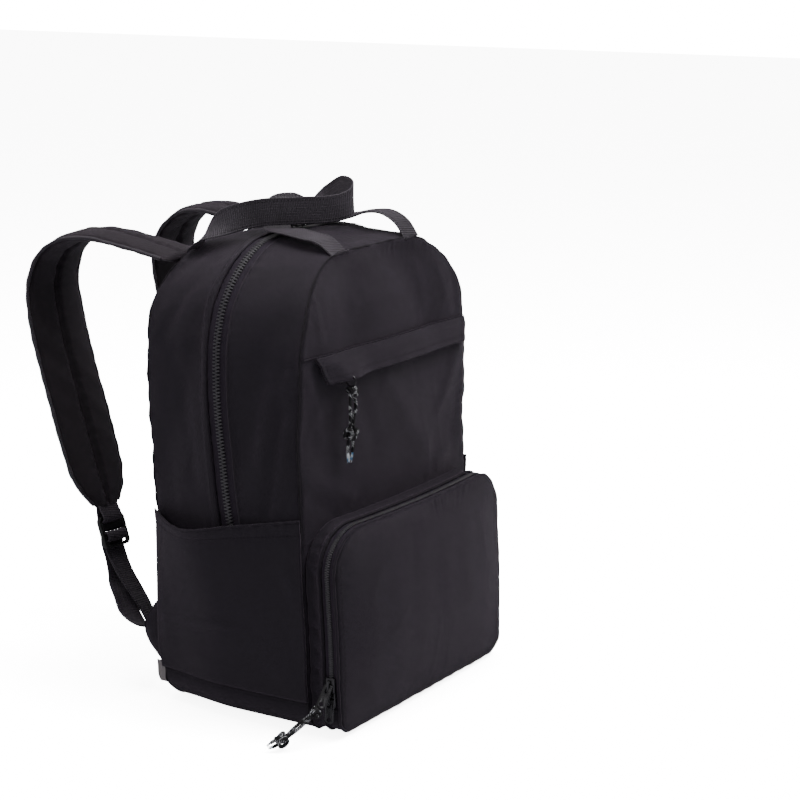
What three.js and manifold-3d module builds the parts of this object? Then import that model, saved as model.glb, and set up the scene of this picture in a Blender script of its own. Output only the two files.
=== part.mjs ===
// A soft nylon backpack that folds into a pouch, standing open and lightly filled.
// Millimetres, +Z up. The origin is on the floor under the middle of the main body,
// the front faces -Y and the shoulder straps hang behind at +Y.
import * as THREE from 'three';
import Module from 'manifold-3d';
import { mergeVertices } from 'three/addons/utils/BufferGeometryUtils.js';

const wasm = await Module();
wasm.setup();

// Main body
const bodyWidth = 276;
const bodyDepth = 172;
const bodyHeight = 418;
const topCornerRadius = 82;
const bottomCornerRadius = 26;
const crownRise = 12;
const sideBulge = 7;
const faceBulge = 8;

// Cloth, seams and the clearances between pieces
const clothThickness = 2;
const seamGap = 0.3;
const layGap = 0.5;

// Heights on the main body
const baseSeamHeight = 32;
const zipEndHeight = 166;
const hemHeight = 190;

// Zips: a tape with a raised chain along its middle
const mainTapeWidth = 20;
const mainChainWidth = 7;
const mainChainRise = 1.8;
const mainZipTopY = 4;
const mainZipSweep = 21;
const mainSliderX = -19;
const smallChainWidth = 5;
const smallChainRise = 1.3;
const tapeThickness = 1.2;

// Side pockets
const hemGape = 13;
const hemThickening = 1;
const hemRise = 7;
const hemSag = 5;

// Flap over the upper front zip
const flapWidth = 240;
const flapTopHeight = 337;
const flapDrop = 19;
const flapSlant = 9;
const flapZipDrop = 22;
const flapThickness = 1.8;
const flapEndLift = 8;
const flapZipWidth = 228;
const flapTapeWidth = 10;
const flapSliderX = -82;

// Front pocket
const pocketWidth = 282;
const pocketMiddleX = 7;
const pocketHeight = 184;
const pocketFoot = 5;
const pocketDepth = 29;
const pocketTopRadius = 40;
const pocketBottomRadius = 15;
const pocketBulge = 10;
const pocketTapeWidth = 13;
const pocketZipEndHeight = 30;
const pocketSliderHeight = 39;

// Shoulder straps, with the webbing that a ladder buckle holds at their lower ends
const strapWidth = 72;
const strapThickness = 11;
const strapRootX = 80;
const strapRootDrop = 10;
const strapReach = 146;
const strapRise = 18;
const webbingWidth = 25;
const webbingThickness = 1.6;
const buckleWidth = 34;
const buckleLength = 31;
const buckleThickness = 4.6;
const buckleBar = 4;
const buckleRim = 3.4;
const tailLength = 84;

// Wings at the lower rear corners, with the blank tab under the left one
const wingX = 121;
const wingFootHeight = 33;
const wingHeight = 62;
const wingReach = 21;
const wingThickness = 6;
const tabX = 119;
const tabFootHeight = 13;
const tabHeight = 20;
const tabLength = 12;
const tabThickness = 1;

// Carrying handles
const frontHandleX = 59;
const rearHandleX = 80;
const handleRise = 40;
const handleSeamInset = 7;

// Sliders and their pull tabs
const sliderLength = 13;
const sliderTop = 1.6;
const sliderClearance = 0.5;
const flangeWidth = 1.6;
const bridgeWidth = 2.2;
const bridgeHeight = 3.5;
const bridgeThickness = 1.1;
const pinWidth = 1.2;
const pullWidth = 9;
const pullThickness = 1.2;
const pullEye = 4.2;
const mainPullLength = 24;
const pocketPullLength = 21;

// Cords on two of the pull tabs
const cordDiameter = 3;
const hitchDiameter = 9;
const hitchLength = 6.5;
const knotDiameter = 12;
const flapEndLength = 38;
const pocketEndLength = 26;

// The wire ring that the upper cord hangs from, on a slider with a higher bridge
const ringRadius = 5;
const ringWire = 1.3;
const ringLean = 31;
const ringBridgeHeight = 5.6;
const firstPullSwing = 38;
const firstPullTwist = -4;

// The two strands of each cord, from its hitch to its knot: points chosen by hand
const flapCordStrands = [
  [[-83.9, -100.6, 300.1], [-86.4, -101.6, 291], [-85.0, -100.8, 281], [-84.2, -100.0, 270.4]],
  [[-79.6, -100.6, 300.1], [-78.4, -102.2, 290], [-80.6, -101.4, 280], [-79.8, -100.0, 270.4]],
];
const pocketCordStrands = [
  [[-157.3, -108.5, 30.6], [-163.9, -104.2, 24.7], [-170.9, -98.8, 18.2], [-175.5, -92.8, 12.5]],
  [[-154.9, -105.7, 30.6], [-159.9, -99.6, 25.0], [-166.1, -93.5, 18.2], [-173.1, -90.0, 12.5]],
];

const finish = {
  nylon: { color: 0x1d1b1d, roughness: 0.72, metalness: 0 },
  strap: { color: 0x161416, roughness: 0.8, metalness: 0 },
  webbing: { color: 0x262428, roughness: 0.7, metalness: 0 },
  zip: { color: 0x202022, roughness: 0.45, metalness: 0 },
  metal: { color: 0x3a3a3d, roughness: 0.32, metalness: 0.9 },
  plastic: { color: 0x18181a, roughness: 0.4, metalness: 0 },
  cord: { color: 0x1c1c20, roughness: 0.75, metalness: 0 },
  label: { color: 0x77777a, roughness: 0.7, metalness: 0 },
};

// Half depth to the front and to the rear, half width, and half width of the rear seam, of the
// slack body at shares of its height, as shares of the named sizes
const slackProfile = [
  { height: 0.0, front: 1.03, rear: 0.84, width: 0.965, back: 0.9 },
  { height: 0.05, front: 1.05, rear: 0.92, width: 0.99, back: 0.92 },
  { height: 0.14, front: 1.04, rear: 0.97, width: 1.0, back: 0.93 },
  { height: 0.42, front: 0.99, rear: 0.955, width: 1.005, back: 0.935 },
  { height: 0.55, front: 0.985, rear: 0.99, width: 1.005, back: 0.95 },
  { height: 0.7, front: 0.985, rear: 1.01, width: 1.005, back: 0.96 },
  { height: 0.88, front: 0.975, rear: 1.0, width: 0.985, back: 0.955 },
  { height: 1.0, front: 0.87, rear: 0.87, width: 0.96, back: 0.94 },
];

// Main dents and folds: a line from one point to another, in shares of half the width, half the
// depth and the whole height, with its reach and its push outwards as shares of the body depth
const folds = [
  { face: 'front', x1: -0.4, y1: -1, z1: 0.95, x2: -0.45, y2: -1, z2: 0.85, reach: 0.15, push: -0.02 },
  { face: 'front', x1: 0.3, y1: -1, z1: 0.94, x2: 0.5, y2: -1, z2: 0.84, reach: 0.15, push: -0.018 },
  { face: 'front', x1: -0.9, y1: -1, z1: 0.63, x2: 0.85, y2: -1, z2: 0.57, reach: 0.15, push: -0.02 },
  { face: 'side', x1: -1, y1: -0.75, z1: 0.86, x2: -1, y2: -0.35, z2: 0.6, reach: 0.13, push: -0.022 },
  { face: 'side', x1: -1, y1: 0.3, z1: 0.85, x2: -1, y2: 0.75, z2: 0.55, reach: 0.13, push: -0.02 },
  { face: 'side', x1: 1, y1: -0.7, z1: 0.8, x2: 1, y2: -0.3, z2: 0.55, reach: 0.14, push: -0.022 },
  { face: 'side', x1: 1, y1: 0.4, z1: 0.8, x2: 1, y2: 0.7, z2: 0.5, reach: 0.13, push: -0.018 },
  { face: 'top', x1: -0.6, y1: 0.35, z1: 1, x2: 0.4, y2: 0.5, z2: 1, reach: 0.12, push: -0.02 },
  { face: 'top', x1: -0.1, y1: -0.6, z1: 1, x2: 0.65, y2: -0.4, z2: 1, reach: 0.12, push: -0.018 },
];

const halfDepth = bodyDepth / 2;

function smooth(value) {
  const t = THREE.MathUtils.clamp(value, 0, 1);
  return t * t * (3 - 2 * t);
}

// Value of a table's column at a share of the height, eased between rows
function profileAt(table, column, share) {
  const last = table.length - 1;
  let row = 0;
  while (row < last - 1 && share > table[row + 1].height) row += 1;
  const low = table[row];
  const high = table[row + 1];
  const t = smooth((share - low.height) / (high.height - low.height));
  return THREE.MathUtils.lerp(low[column], high[column], t);
}

// Evenly spaced values from one to another, both ends included
function steps(from, to, count) {
  return Array.from({ length: count + 1 }, (_, i) => from + ((to - from) * i) / count);
}

function foldPush(point, fold) {
  const halfWidth = bodyWidth / 2;
  const start = new THREE.Vector3(fold.x1 * halfWidth, fold.y1 * halfDepth, fold.z1 * bodyHeight);
  const end = new THREE.Vector3(fold.x2 * halfWidth, fold.y2 * halfDepth, fold.z2 * bodyHeight);
  const nearest = new THREE.Line3(start, end).closestPointToPoint(point, true, new THREE.Vector3());
  const away = nearest.distanceTo(point) / (fold.reach * bodyDepth);
  return fold.push * bodyDepth * Math.exp(-away * away);
}

// Takes a point of the square-cut body to its place on the slack, lightly filled body
function settle(point) {
  const share = THREE.MathUtils.clamp(point.z / bodyHeight, 0, 1);
  const across = point.x / (bodyWidth / 2);
  const deep = point.y / halfDepth;
  const rise = Math.sin(Math.PI * share);
  const roundX = Math.max(0, 1 - across * across);
  const roundY = Math.max(0, 1 - deep * deep);
  const result = point.clone();
  const back = profileAt(slackProfile, 'back', share) - profileAt(slackProfile, 'width', share);
  const width = profileAt(slackProfile, 'width', share) + back * smooth(deep);
  result.x *= width + (sideBulge / (bodyWidth / 2)) * roundY * rise;
  const ends = profileAt(slackProfile, 'rear', share) - profileAt(slackProfile, 'front', share);
  const depth = profileAt(slackProfile, 'front', share) + ends * smooth((deep + 1) / 2);
  result.y *= depth + (faceBulge / halfDepth) * roundX * rise;
  result.z += crownRise * share ** 6 * roundX * (0.3 + 0.7 * roundY);
  for (const fold of folds) {
    const push = foldPush(point, fold);
    if (fold.face === 'front') result.y -= push;
    if (fold.face === 'side') result.x += Math.sign(fold.x1) * push;
    if (fold.face === 'top') result.z += push;
  }
  return result;
}

// Turns a mesh's faces round where they point inwards
function facingOut(geometry) {
  const at = geometry.attributes.position;
  const index = geometry.index.array;
  const [a, b, c] = [new THREE.Vector3(), new THREE.Vector3(), new THREE.Vector3()];
  let volume = 0;
  for (let i = 0; i < index.length; i += 3) {
    a.fromBufferAttribute(at, index[i]);
    b.fromBufferAttribute(at, index[i + 1]);
    c.fromBufferAttribute(at, index[i + 2]);
    volume += a.dot(b.cross(c));
  }
  if (volume < 0) {
    for (let i = 0; i < index.length; i += 3) {
      [index[i], index[i + 1]] = [index[i + 1], index[i]];
    }
  }
  geometry.computeVertexNormals();
  return geometry;
}

function meshFrom(points, faces) {
  const geometry = new THREE.BufferGeometry();
  const flat = points.flatMap((p) => [p.x, p.y, p.z]);
  geometry.setAttribute('position', new THREE.Float32BufferAttribute(flat, 3));
  geometry.setIndex(faces.flat());
  return facingOut(geometry);
}

// A closed wall between an outer and an inner grid of points; a ring closes on itself along columns
function wall(outer, inner, ring = false) {
  const rows = outer.length;
  const columns = outer[0].length;
  const half = rows * columns;
  const points = [...outer.flat(), ...inner.flat()];
  const id = (row, column) => row * columns + (column % columns);
  const faces = [];
  const quad = (p, q, r, s) => faces.push([p, q, r], [p, r, s]);
  const lastColumn = ring ? columns : columns - 1;
  for (let i = 0; i < rows - 1; i += 1) {
    for (let j = 0; j < lastColumn; j += 1) {
      quad(id(i, j), id(i, j + 1), id(i + 1, j + 1), id(i + 1, j));
      quad(half + id(i, j), half + id(i + 1, j), half + id(i + 1, j + 1), half + id(i, j + 1));
    }
  }
  for (let j = 0; j < lastColumn; j += 1) {
    quad(id(0, j + 1), id(0, j), half + id(0, j), half + id(0, j + 1));
    quad(id(rows - 1, j), id(rows - 1, j + 1), half + id(rows - 1, j + 1), half + id(rows - 1, j));
  }
  for (let i = 0; i < rows - 1 && !ring; i += 1) {
    quad(id(i, 0), id(i + 1, 0), half + id(i + 1, 0), half + id(i, 0));
    quad(id(i + 1, lastColumn), id(i, lastColumn), half + id(i, lastColumn), half + id(i + 1, lastColumn));
  }
  return meshFrom(points, faces);
}

// Rows of an outline with round corners: half width, height and the direction that faces outwards
function outlineLevels(width, foot, height, bottomRadius, topRadius, straight, arcs) {
  const half = width / 2;
  const corner = (radius, centre, from, to, count) =>
    steps(from, to, count).map((angle) => ({
      half: half - radius + radius * Math.cos(angle),
      z: centre + radius * Math.sin(angle),
      nx: Math.cos(angle),
      nz: Math.sin(angle),
    }));
  const low = corner(bottomRadius, foot + bottomRadius, -Math.PI / 2, 0, arcs.bottom);
  const high = corner(topRadius, foot + height - topRadius, 0, Math.PI / 2, arcs.top);
  const middle = straight.map((z) => ({ half, z, nx: 1, nz: 0 }));
  return [...low, ...middle, ...high];
}

const leftPoint = (level) => ({ x: -level.half, z: level.z, nx: -level.nx, nz: level.nz });
const rightPoint = (level) => ({ x: level.half, z: level.z, nx: level.nx, nz: level.nz });
const edgePoint = (level, share) => ({ x: share * level.half, z: level.z, nx: 0, nz: Math.sign(level.nz) });

// Points from the left side at one height, over the top and down to the same height on the right
function overTop(levels, columns, height) {
  const rising = levels.filter((level) => level.z > height - 1e-6);
  const top = rising[rising.length - 1];
  const inside = columns.slice(1, -1).map((share) => edgePoint(top, share));
  return [...rising.map(leftPoint), ...inside, ...rising.map(rightPoint).reverse()];
}

// Points from the left side at one height, under the foot and up to the same height on the right
function underFoot(levels, columns, height) {
  const low = levels.filter((level) => level.z < height + 1e-6);
  const inside = columns.slice(1, -1).map((share) => edgePoint(low[0], share));
  return [...low.map(leftPoint).reverse(), ...inside, ...low.map(rightPoint)];
}

// The whole outline, once round
function allRound(levels, columns) {
  const top = levels[levels.length - 1];
  const over = columns.slice(1, -1).map((share) => edgePoint(top, share));
  const under = columns.slice(1, -1).map((share) => edgePoint(levels[0], share)).reverse();
  return [...levels.map(leftPoint), ...over, ...levels.map(rightPoint).reverse(), ...under];
}

// A point of the outline at a depth along Y, settled, then shifted along Y and inwards by some cloth
function placed(point, y, shift, inset) {
  const result = settle(new THREE.Vector3(point.x, y, point.z));
  result.x -= point.nx * inset;
  result.y += shift;
  result.z -= point.nz * inset;
  return result;
}

// A point that stands off the front of the main body, or off one side of it
function onFront(x, z, standOff) {
  const result = settle(new THREE.Vector3(x, -halfDepth, z));
  result.y -= standOff;
  return result;
}

function onSide(side, y, z, standOff) {
  const result = settle(new THREE.Vector3((side * bodyWidth) / 2, y, z));
  result.x += side * standOff;
  return result;
}

// Clears the seams at both ends of a band by moving its end points along Z
function trimmed(points, shift) {
  const last = points.length - 1;
  return points.map((p, i) => (i === 0 || i === last ? { ...p, z: p.z + shift } : p));
}

const seamInset = clothThickness + seamGap;
const bodyColumns = [-1, -0.78, -0.56, -0.34, -0.12, 0.12, 0.34, 0.56, 0.78, 1];
const shoulderHeight = bodyHeight - topCornerRadius;
const bodyStraight = [
  ...steps(baseSeamHeight, zipEndHeight, 3),
  ...steps(hemHeight, shoulderHeight, 5).slice(0, -1),
];
const bodyArcs = { bottom: 3, top: 4 };
const bodyLevels = outlineLevels(
  bodyWidth, 0, bodyHeight, bottomCornerRadius, topCornerRadius, bodyStraight, bodyArcs,
);

// Front or back panel; facing is -1 at the front and 1 at the back
function facePanel(facing) {
  const grid = (inset) => bodyLevels.map((level) => bodyColumns.map((share) =>
    placed({ x: share * level.half, z: level.z, nx: 0, nz: 0 }, facing * halfDepth, -facing * inset, 0)));
  return wall(grid(0), grid(clothThickness));
}

// Depth of the main zip's middle line at a height: it bends forward towards its lower ends
function zipLine(z) {
  const share = THREE.MathUtils.clamp((z - zipEndHeight) / (bodyHeight - zipEndHeight), 0, 1);
  return mainZipTopY - mainZipSweep * (1 - share) ** 2.2;
}

// Band of cloth along an outline. Its two edges stand at depths along Y, shifted clear of their seams
function band(points, shares, from, to, outset = () => 0) {
  const edge = (end, p, inset) => placed(p, end.y(p), end.shift, inset);
  const grid = (inset, sign) => shares.map((share) => points.map((p) => {
    const deep = inset - sign * outset(share);
    if (share === 0) return edge(from, p, deep);
    if (share === 1) return edge(to, p, deep);
    return placed(p, THREE.MathUtils.lerp(from.y(p) + from.shift, to.y(p) + to.shift, share), 0, deep);
  }));
  return wall(grid(0, 1), grid(clothThickness, 0));
}

const overPoints = overTop(bodyLevels, bodyColumns, zipEndHeight);
const bandPoints = trimmed(overPoints, seamGap);
const tapeClear = mainTapeWidth / 2 + seamGap;
const frontSeam = { y: () => -halfDepth, shift: seamInset };
const rearSeam = { y: () => halfDepth, shift: -seamInset };
const zipFrontEdge = { y: (p) => zipLine(p.z), shift: -tapeClear };
const zipRearEdge = { y: (p) => zipLine(p.z), shift: tapeClear };

function frontBand() {
  return band(bandPoints, steps(0, 1, 4), frontSeam, zipFrontEdge);
}

// The rear band's edge beside the zip is folded back on itself, so it is thicker there
function rearBand() {
  const shares = [0, 0.12, 0.17, 0.55, 1];
  const fold = (share) => (share < 0.14 ? clothThickness * 0.8 : 0);
  return band(bandPoints, shares, zipRearEdge, rearSeam, fold);
}

// Section across a zip: flat tape with the chain standing up along its middle
function zipSection(tapeWidth, chainWidth, chainRise) {
  const slope = chainRise / 4;
  return [
    { across: -tapeWidth / 2, rise: 0 },
    { across: -chainWidth / 2 - slope, rise: 0 },
    { across: -chainWidth / 2, rise: chainRise },
    { across: chainWidth / 2, rise: chainRise },
    { across: chainWidth / 2 + slope, rise: 0 },
    { across: tapeWidth / 2, rise: 0 },
  ];
}

function mainZip() {
  const section = zipSection(mainTapeWidth, mainChainWidth, mainChainRise);
  const grid = (inset, raised) => section.map((row) => bandPoints.map((p) =>
    placed(p, zipLine(p.z), row.across, layGap + inset - raised * row.rise)));
  return wall(grid(0, 1), grid(tapeThickness, 0));
}

const sideLevels = bodyLevels.filter((level) => level.nx === 1 && level.z > baseSeamHeight - 1e-6);
const depthShares = [0, 0.1, 0.26, 0.42, 0.58, 0.74, 0.9, 1];

// Lower side wall behind a side pocket; side is -1 on the left and 1 on the right
function sidePanel(side) {
  const levels = sideLevels.filter((level) => level.z < zipEndHeight + 1e-6);
  const points = levels.map(side < 0 ? leftPoint : rightPoint);
  return band(points, depthShares, frontSeam, rearSeam);
}

// Open slip pocket on the side: its hem stands away from the wall towards the rear
function sidePocket(side) {
  const levels = sideLevels.filter((level) => level.z < hemHeight + 1e-6);
  const grid = (thickness) => levels.map((level) => depthShares.map((share) => {
    const up = (level.z - baseSeamHeight) / (hemHeight - baseSeamHeight);
    const gape = hemGape * up ** 1.6 * Math.sin(Math.PI * share ** 1.6);
    const hem = thickness > 0 && up > 0.99 ? hemThickening : 0;
    const y = THREE.MathUtils.lerp(-halfDepth + seamGap, halfDepth - seamGap, share);
    const slant = hemRise * (1 - 2 * share) - hemSag * Math.sin(Math.PI * share);
    return onSide(side, y, level.z + slant * up ** 3, layGap + gape + thickness + hem);
  }));
  return wall(grid(clothThickness), grid(0));
}

// Base of the bag, turned up at both sides to the seam of the side walls
function basePanel() {
  const points = trimmed(underFoot(bodyLevels, bodyColumns, baseSeamHeight), -seamGap);
  return band(points, [0, 0.09, 0.26, 0.62, 0.78, 0.91, 1], frontSeam, rearSeam);
}

const pocketColumns = [-1, -0.75, -0.5, -0.25, 0, 0.25, 0.5, 0.75, 1];
const pocketShoulder = pocketFoot + pocketHeight - pocketTopRadius;
const pocketStraight = steps(pocketZipEndHeight, pocketShoulder, 5).slice(0, -1);
const pocketArcs = { bottom: 3, top: 4 };
const pocketLevels = outlineLevels(
  pocketWidth, pocketFoot, pocketHeight, pocketBottomRadius, pocketTopRadius, pocketStraight, pocketArcs,
);
const pocketZipDepth = pocketDepth - pocketTapeWidth / 2 - seamGap;
const pocketBandDepth = pocketDepth - pocketTapeWidth - 2 * seamGap;

// How far the pocket's front stands out, from nothing at its edge to its full bulge in the middle
function pocketSwell(share, z) {
  const up = THREE.MathUtils.clamp((z - pocketFoot) / pocketHeight, 0, 1);
  return pocketBulge * (1 - share ** 4) * Math.sin(Math.PI * up) ** 0.7;
}

function pocketFront() {
  const grid = (depth) => pocketLevels.map((level) => pocketColumns.map((share) =>
    onFront(pocketMiddleX + share * level.half, level.z, depth + pocketSwell(share, level.z))));
  return wall(grid(pocketDepth + clothThickness), grid(pocketDepth));
}

// A point of the pocket's outline at a depth in front of the main body, pushed inwards
function onPocket(point, depth, inset) {
  const result = onFront(pocketMiddleX + point.x, point.z, depth);
  result.x -= point.nx * inset;
  result.z -= point.nz * inset;
  return result;
}

// Rear half of the pocket's side, all the way round, from the main body to the zip
function pocketGusset() {
  const points = allRound(pocketLevels, pocketColumns);
  const tuck = (share) => clothThickness * 0.8 * Math.sin(Math.PI * share);
  const grid = (inset) => [0, 0.5, 1].map((share) => points.map((p) =>
    onPocket(p, THREE.MathUtils.lerp(layGap, pocketBandDepth, share), inset + tuck(share))));
  return wall(grid(0), grid(clothThickness), true);
}

function pocketZip() {
  const points = trimmed(overTop(pocketLevels, pocketColumns, pocketZipEndHeight), seamGap);
  const section = zipSection(pocketTapeWidth, smallChainWidth, smallChainRise);
  const grid = (inset, raised) => section.map((row) => points.map((p) =>
    onPocket(p, pocketZipDepth + row.across, layGap + inset - raised * row.rise)));
  return wall(grid(0, 1), grid(tapeThickness, 0));
}

// Front half of the pocket's side below the ends of its zip
function pocketBase() {
  const points = underFoot(pocketLevels, pocketColumns, pocketZipEndHeight);
  const depths = steps(pocketBandDepth + seamGap, pocketDepth - seamGap, 2);
  const grid = (inset) => depths.map((depth) => points.map((p) => onPocket(p, depth, inset)));
  return wall(grid(0), grid(clothThickness));
}

// Stand-off of the flap from the front panel, from its sewn top edge down to its free edge
const flapProfile = [
  { drop: 0.0, lift: 0.02 },
  { drop: 0.3, lift: 0.17 },
  { drop: 0.6, lift: 0.19 },
  { drop: 1.0, lift: 0.26 },
];

function frontFlap() {
  const columns = steps(-flapWidth / 2, flapWidth / 2, 16);
  const grid = (thickness) => flapProfile.map((row) => columns.map((x) => {
    const fromSlider = (x - flapSliderX) / (flapDrop * 1.4);
    const lift = row.lift * flapDrop + flapEndLift * row.drop * Math.exp(-fromSlider * fromSlider);
    const narrowed = x * (1 - (2 * flapSlant * row.drop) / flapWidth);
    return onFront(narrowed, flapTopHeight - row.drop * flapDrop, layGap + lift + thickness);
  }));
  return wall(grid(flapThickness), grid(0));
}

const flapZipHeight = flapTopHeight - flapZipDrop;

function flapZip() {
  const section = zipSection(flapTapeWidth, smallChainWidth, smallChainRise);
  const columns = steps(-flapZipWidth / 2, flapZipWidth / 2, 14);
  const grid = (thickness, raised) => section.map((row) => columns.map((x) =>
    onFront(x, flapZipHeight + row.across, layGap + thickness + raised * row.rise)));
  return wall(grid(tapeThickness, 1), grid(0, 0));
}

// Carries a closed section along stations; each station has a middle, a width direction and a
// thickness direction, and its section is scaled by its own width and thickness
function sweep(stations, outline, root = (p) => p, foot = (p) => p) {
  const flat = outline.map(([u, v]) => new THREE.Vector2(u, v));
  const section = THREE.ShapeUtils.isClockWise(flat) ? [...outline].reverse() : outline;
  const points = stations.flatMap((station, i) => section.map(([u, v]) => {
    const p = station.middle.clone();
    p.addScaledVector(station.across, u * station.width);
    p.addScaledVector(station.out, v * station.thickness);
    if (i === 0) return root(p);
    return i === stations.length - 1 ? foot(p) : p;
  }));
  const sides = section.length;
  const faces = [];
  for (let i = 0; i < stations.length - 1; i += 1) {
    for (let j = 0; j < sides; j += 1) {
      const a = i * sides + j;
      const b = i * sides + ((j + 1) % sides);
      faces.push([a, b, b + sides], [a, b + sides, a + sides]);
    }
  }
  const cap = THREE.ShapeUtils.triangulateShape(section.map(([u, v]) => new THREE.Vector2(u, v)), []);
  const last = (stations.length - 1) * sides;
  cap.forEach(([a, b, c]) => faces.push([c, b, a], [last + a, last + b, last + c]));
  return meshFrom(points, faces);
}

// Stations along a curve through the table's points, with the width turned as the table says
function stationsAlong(rows, count) {
  const curve = new THREE.CatmullRomCurve3(rows.map((row) => row.middle), false, 'centripetal');
  const last = rows.length - 1;
  return steps(0, 1, count).map((t) => {
    const row = Math.min(Math.floor(t * last), last - 1);
    const share = t * last - row;
    const mix = (column) => THREE.MathUtils.lerp(rows[row][column], rows[row + 1][column], share);
    const along = curve.getTangent(t);
    const across = rows[row].across.clone().lerp(rows[row + 1].across, share);
    across.addScaledVector(along, -across.dot(along)).normalize();
    const out = new THREE.Vector3().crossVectors(across, along).normalize();
    const middle = curve.getPoint(t);
    return { middle, along, across, out, width: mix('width'), thickness: mix('thickness') };
  });
}

// Middle line of a shoulder strap: its way back as a share of the reach, up as a share of the
// rise, outwards as a share of the strap's width, and the strap's own width, thickness and turn
const strapRoute = [
  { back: 0.0, up: 0.0, spread: 0.0, width: 0.8, thickness: 0.75, turn: 0 },
  { back: 0.16, up: 0.25, spread: 0.02, width: 0.8, thickness: 0.9, turn: 0 },
  { back: 0.38, up: 0.55, spread: 0.04, width: 0.8, thickness: 1, turn: 0 },
  { back: 0.58, up: 0.72, spread: 0.06, width: 0.82, thickness: 1, turn: 0 },
  { back: 0.78, up: 0.5, spread: 0.09, width: 0.85, thickness: 1, turn: 0.02 },
  { back: 0.93, up: -0.4, spread: 0.12, width: 0.9, thickness: 1, turn: 0.03 },
  { back: 0.99, up: -1.9, spread: 0.15, width: 0.95, thickness: 1, turn: 0.04 },
  { back: 0.97, up: -3.3, spread: 0.17, width: 1, thickness: 1, turn: 0.05 },
  { back: 0.92, up: -4.9, spread: 0.19, width: 1, thickness: 1, turn: 0.05 },
  { back: 0.85, up: -6.6, spread: 0.21, width: 1, thickness: 1, turn: 0.05 },
  { back: 0.77, up: -8.4, spread: 0.23, width: 1, thickness: 1, turn: 0.05 },
  { back: 0.69, up: -10.1, spread: 0.26, width: 1, thickness: 1, turn: 0.05 },
  { back: 0.62, up: -11.6, spread: 0.28, width: 0.95, thickness: 0.95, turn: 0.05 },
  { back: 0.57, up: -12.6, spread: 0.29, width: 0.74, thickness: 0.85, turn: 0.05 },
  { back: 0.535, up: -13.4, spread: 0.3, width: 0.4, thickness: 0.6, turn: 0.05 },
];

const strapSteps = 20;

function strapRows(side, lift) {
  return strapRoute.map((row) => ({
    middle: new THREE.Vector3(
      side * (strapRootX + row.spread * strapWidth),
      halfDepth + row.back * strapReach,
      bodyHeight - strapRootDrop + row.up * strapRise + lift * Math.sin(Math.PI * row.back),
    ),
    across: new THREE.Vector3(side, row.turn, 0).normalize(),
    width: row.width * strapWidth,
    thickness: row.thickness * strapThickness,
  }));
}

// Two padded channels with a seam along the middle
const strapSection = [
  [-0.5, 0], [-0.41, 0.38], [-0.22, 0.5], [0, 0.16], [0.22, 0.5], [0.41, 0.38],
  [0.5, 0], [0.41, -0.38], [0.22, -0.5], [0, -0.16], [-0.22, -0.5], [-0.41, -0.38],
];
const webbingSection = [[-0.5, -0.5], [0.5, -0.5], [0.5, 0.5], [-0.5, 0.5]];

// Seats a point on the back panel, clear of it by the lay gap
function onBack(p) {
  const first = settle(new THREE.Vector3(p.x, halfDepth, p.z));
  const second = settle(new THREE.Vector3(p.x, halfDepth, 2 * p.z - first.z));
  return new THREE.Vector3(p.x, second.y + layGap, p.z);
}

function shoulderStrap(side, lift) {
  return sweep(stationsAlong(strapRows(side, lift), strapSteps), strapSection, onBack);
}

// Frame at the lower end of a strap: the buckle hangs along the strap's own last direction
function strapEnd(side, lift) {
  const stations = stationsAlong(strapRows(side, lift), strapSteps);
  return stations[stations.length - 1];
}

// A point in a strap end's frame: across the strap, on along it, and out on its outer face
function atEnd(end, across, on, out) {
  return end.middle.clone()
    .addScaledVector(end.across, across)
    .addScaledVector(end.along, on)
    .addScaledVector(end.out, out);
}

const buckleDrop = 9;
const bucklePitch = (buckleLength - buckleBar) / 3;
const barMiddles = [0, 1, 2, 3].map((bar) => buckleDrop + buckleBar / 2 + bar * bucklePitch);
const wrapReach = buckleThickness / 2 + seamGap + webbingThickness / 2;

// Ladder buckle: four bars between two side rims
function buckle(side, lift) {
  const end = strapEnd(side, lift);
  const half = buckleWidth / 2;
  const cut = buckleRim * 0.6;
  const shape = polygon([
    [-half, cut], [-half + cut, 0], [half - cut, 0], [half, cut], [half, buckleLength - cut],
    [half - cut, buckleLength], [-half + cut, buckleLength], [-half, buckleLength - cut],
  ]);
  for (let slot = 0; slot < 3; slot += 1) {
    const from = buckleBar + slot * bucklePitch;
    const to = from + bucklePitch - buckleBar;
    const wide = half - buckleRim;
    shape.holes.push(polygon([[-wide, from], [-wide, to], [wide, to], [wide, from]]));
  }
  const geometry = new THREE.ExtrudeGeometry(shape, { depth: buckleThickness, bevelEnabled: false });
  geometry.translate(0, buckleDrop, -buckleThickness / 2);
  const place = new THREE.Matrix4().makeBasis(end.across, end.along, end.out).setPosition(end.middle);
  return geometry.applyMatrix4(place);
}

const direction = (x, y, z) => new THREE.Vector3(x, y, z).normalize();

function webbingRow(middle, across) {
  return { middle, across, width: webbingWidth, thickness: webbingThickness };
}

// Short webbing sewn to the strap's end and turned round the buckle's first bar
function keeper(side, lift) {
  const end = strapEnd(side, lift);
  const bar = barMiddles[0];
  const half = [
    { on: seamGap, out: 1.6 },
    { on: bar * 0.4, out: wrapReach * 0.8 },
    { on: bar * 0.75, out: wrapReach + 0.3 },
    { on: bar + 2.2, out: wrapReach + 0.2 },
    { on: bar + 3.6, out: wrapReach * 0.5 },
  ];
  const returning = half.map((row) => ({ on: row.on, out: -row.out })).reverse();
  const route = [...half, { on: bar + 3.8, out: 0 }, ...returning];
  const rows = route.map((row) => webbingRow(atEnd(end, 0, row.on, row.out), end.across));
  return sweep(stationsAlong(rows, 18), webbingSection);
}

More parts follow.
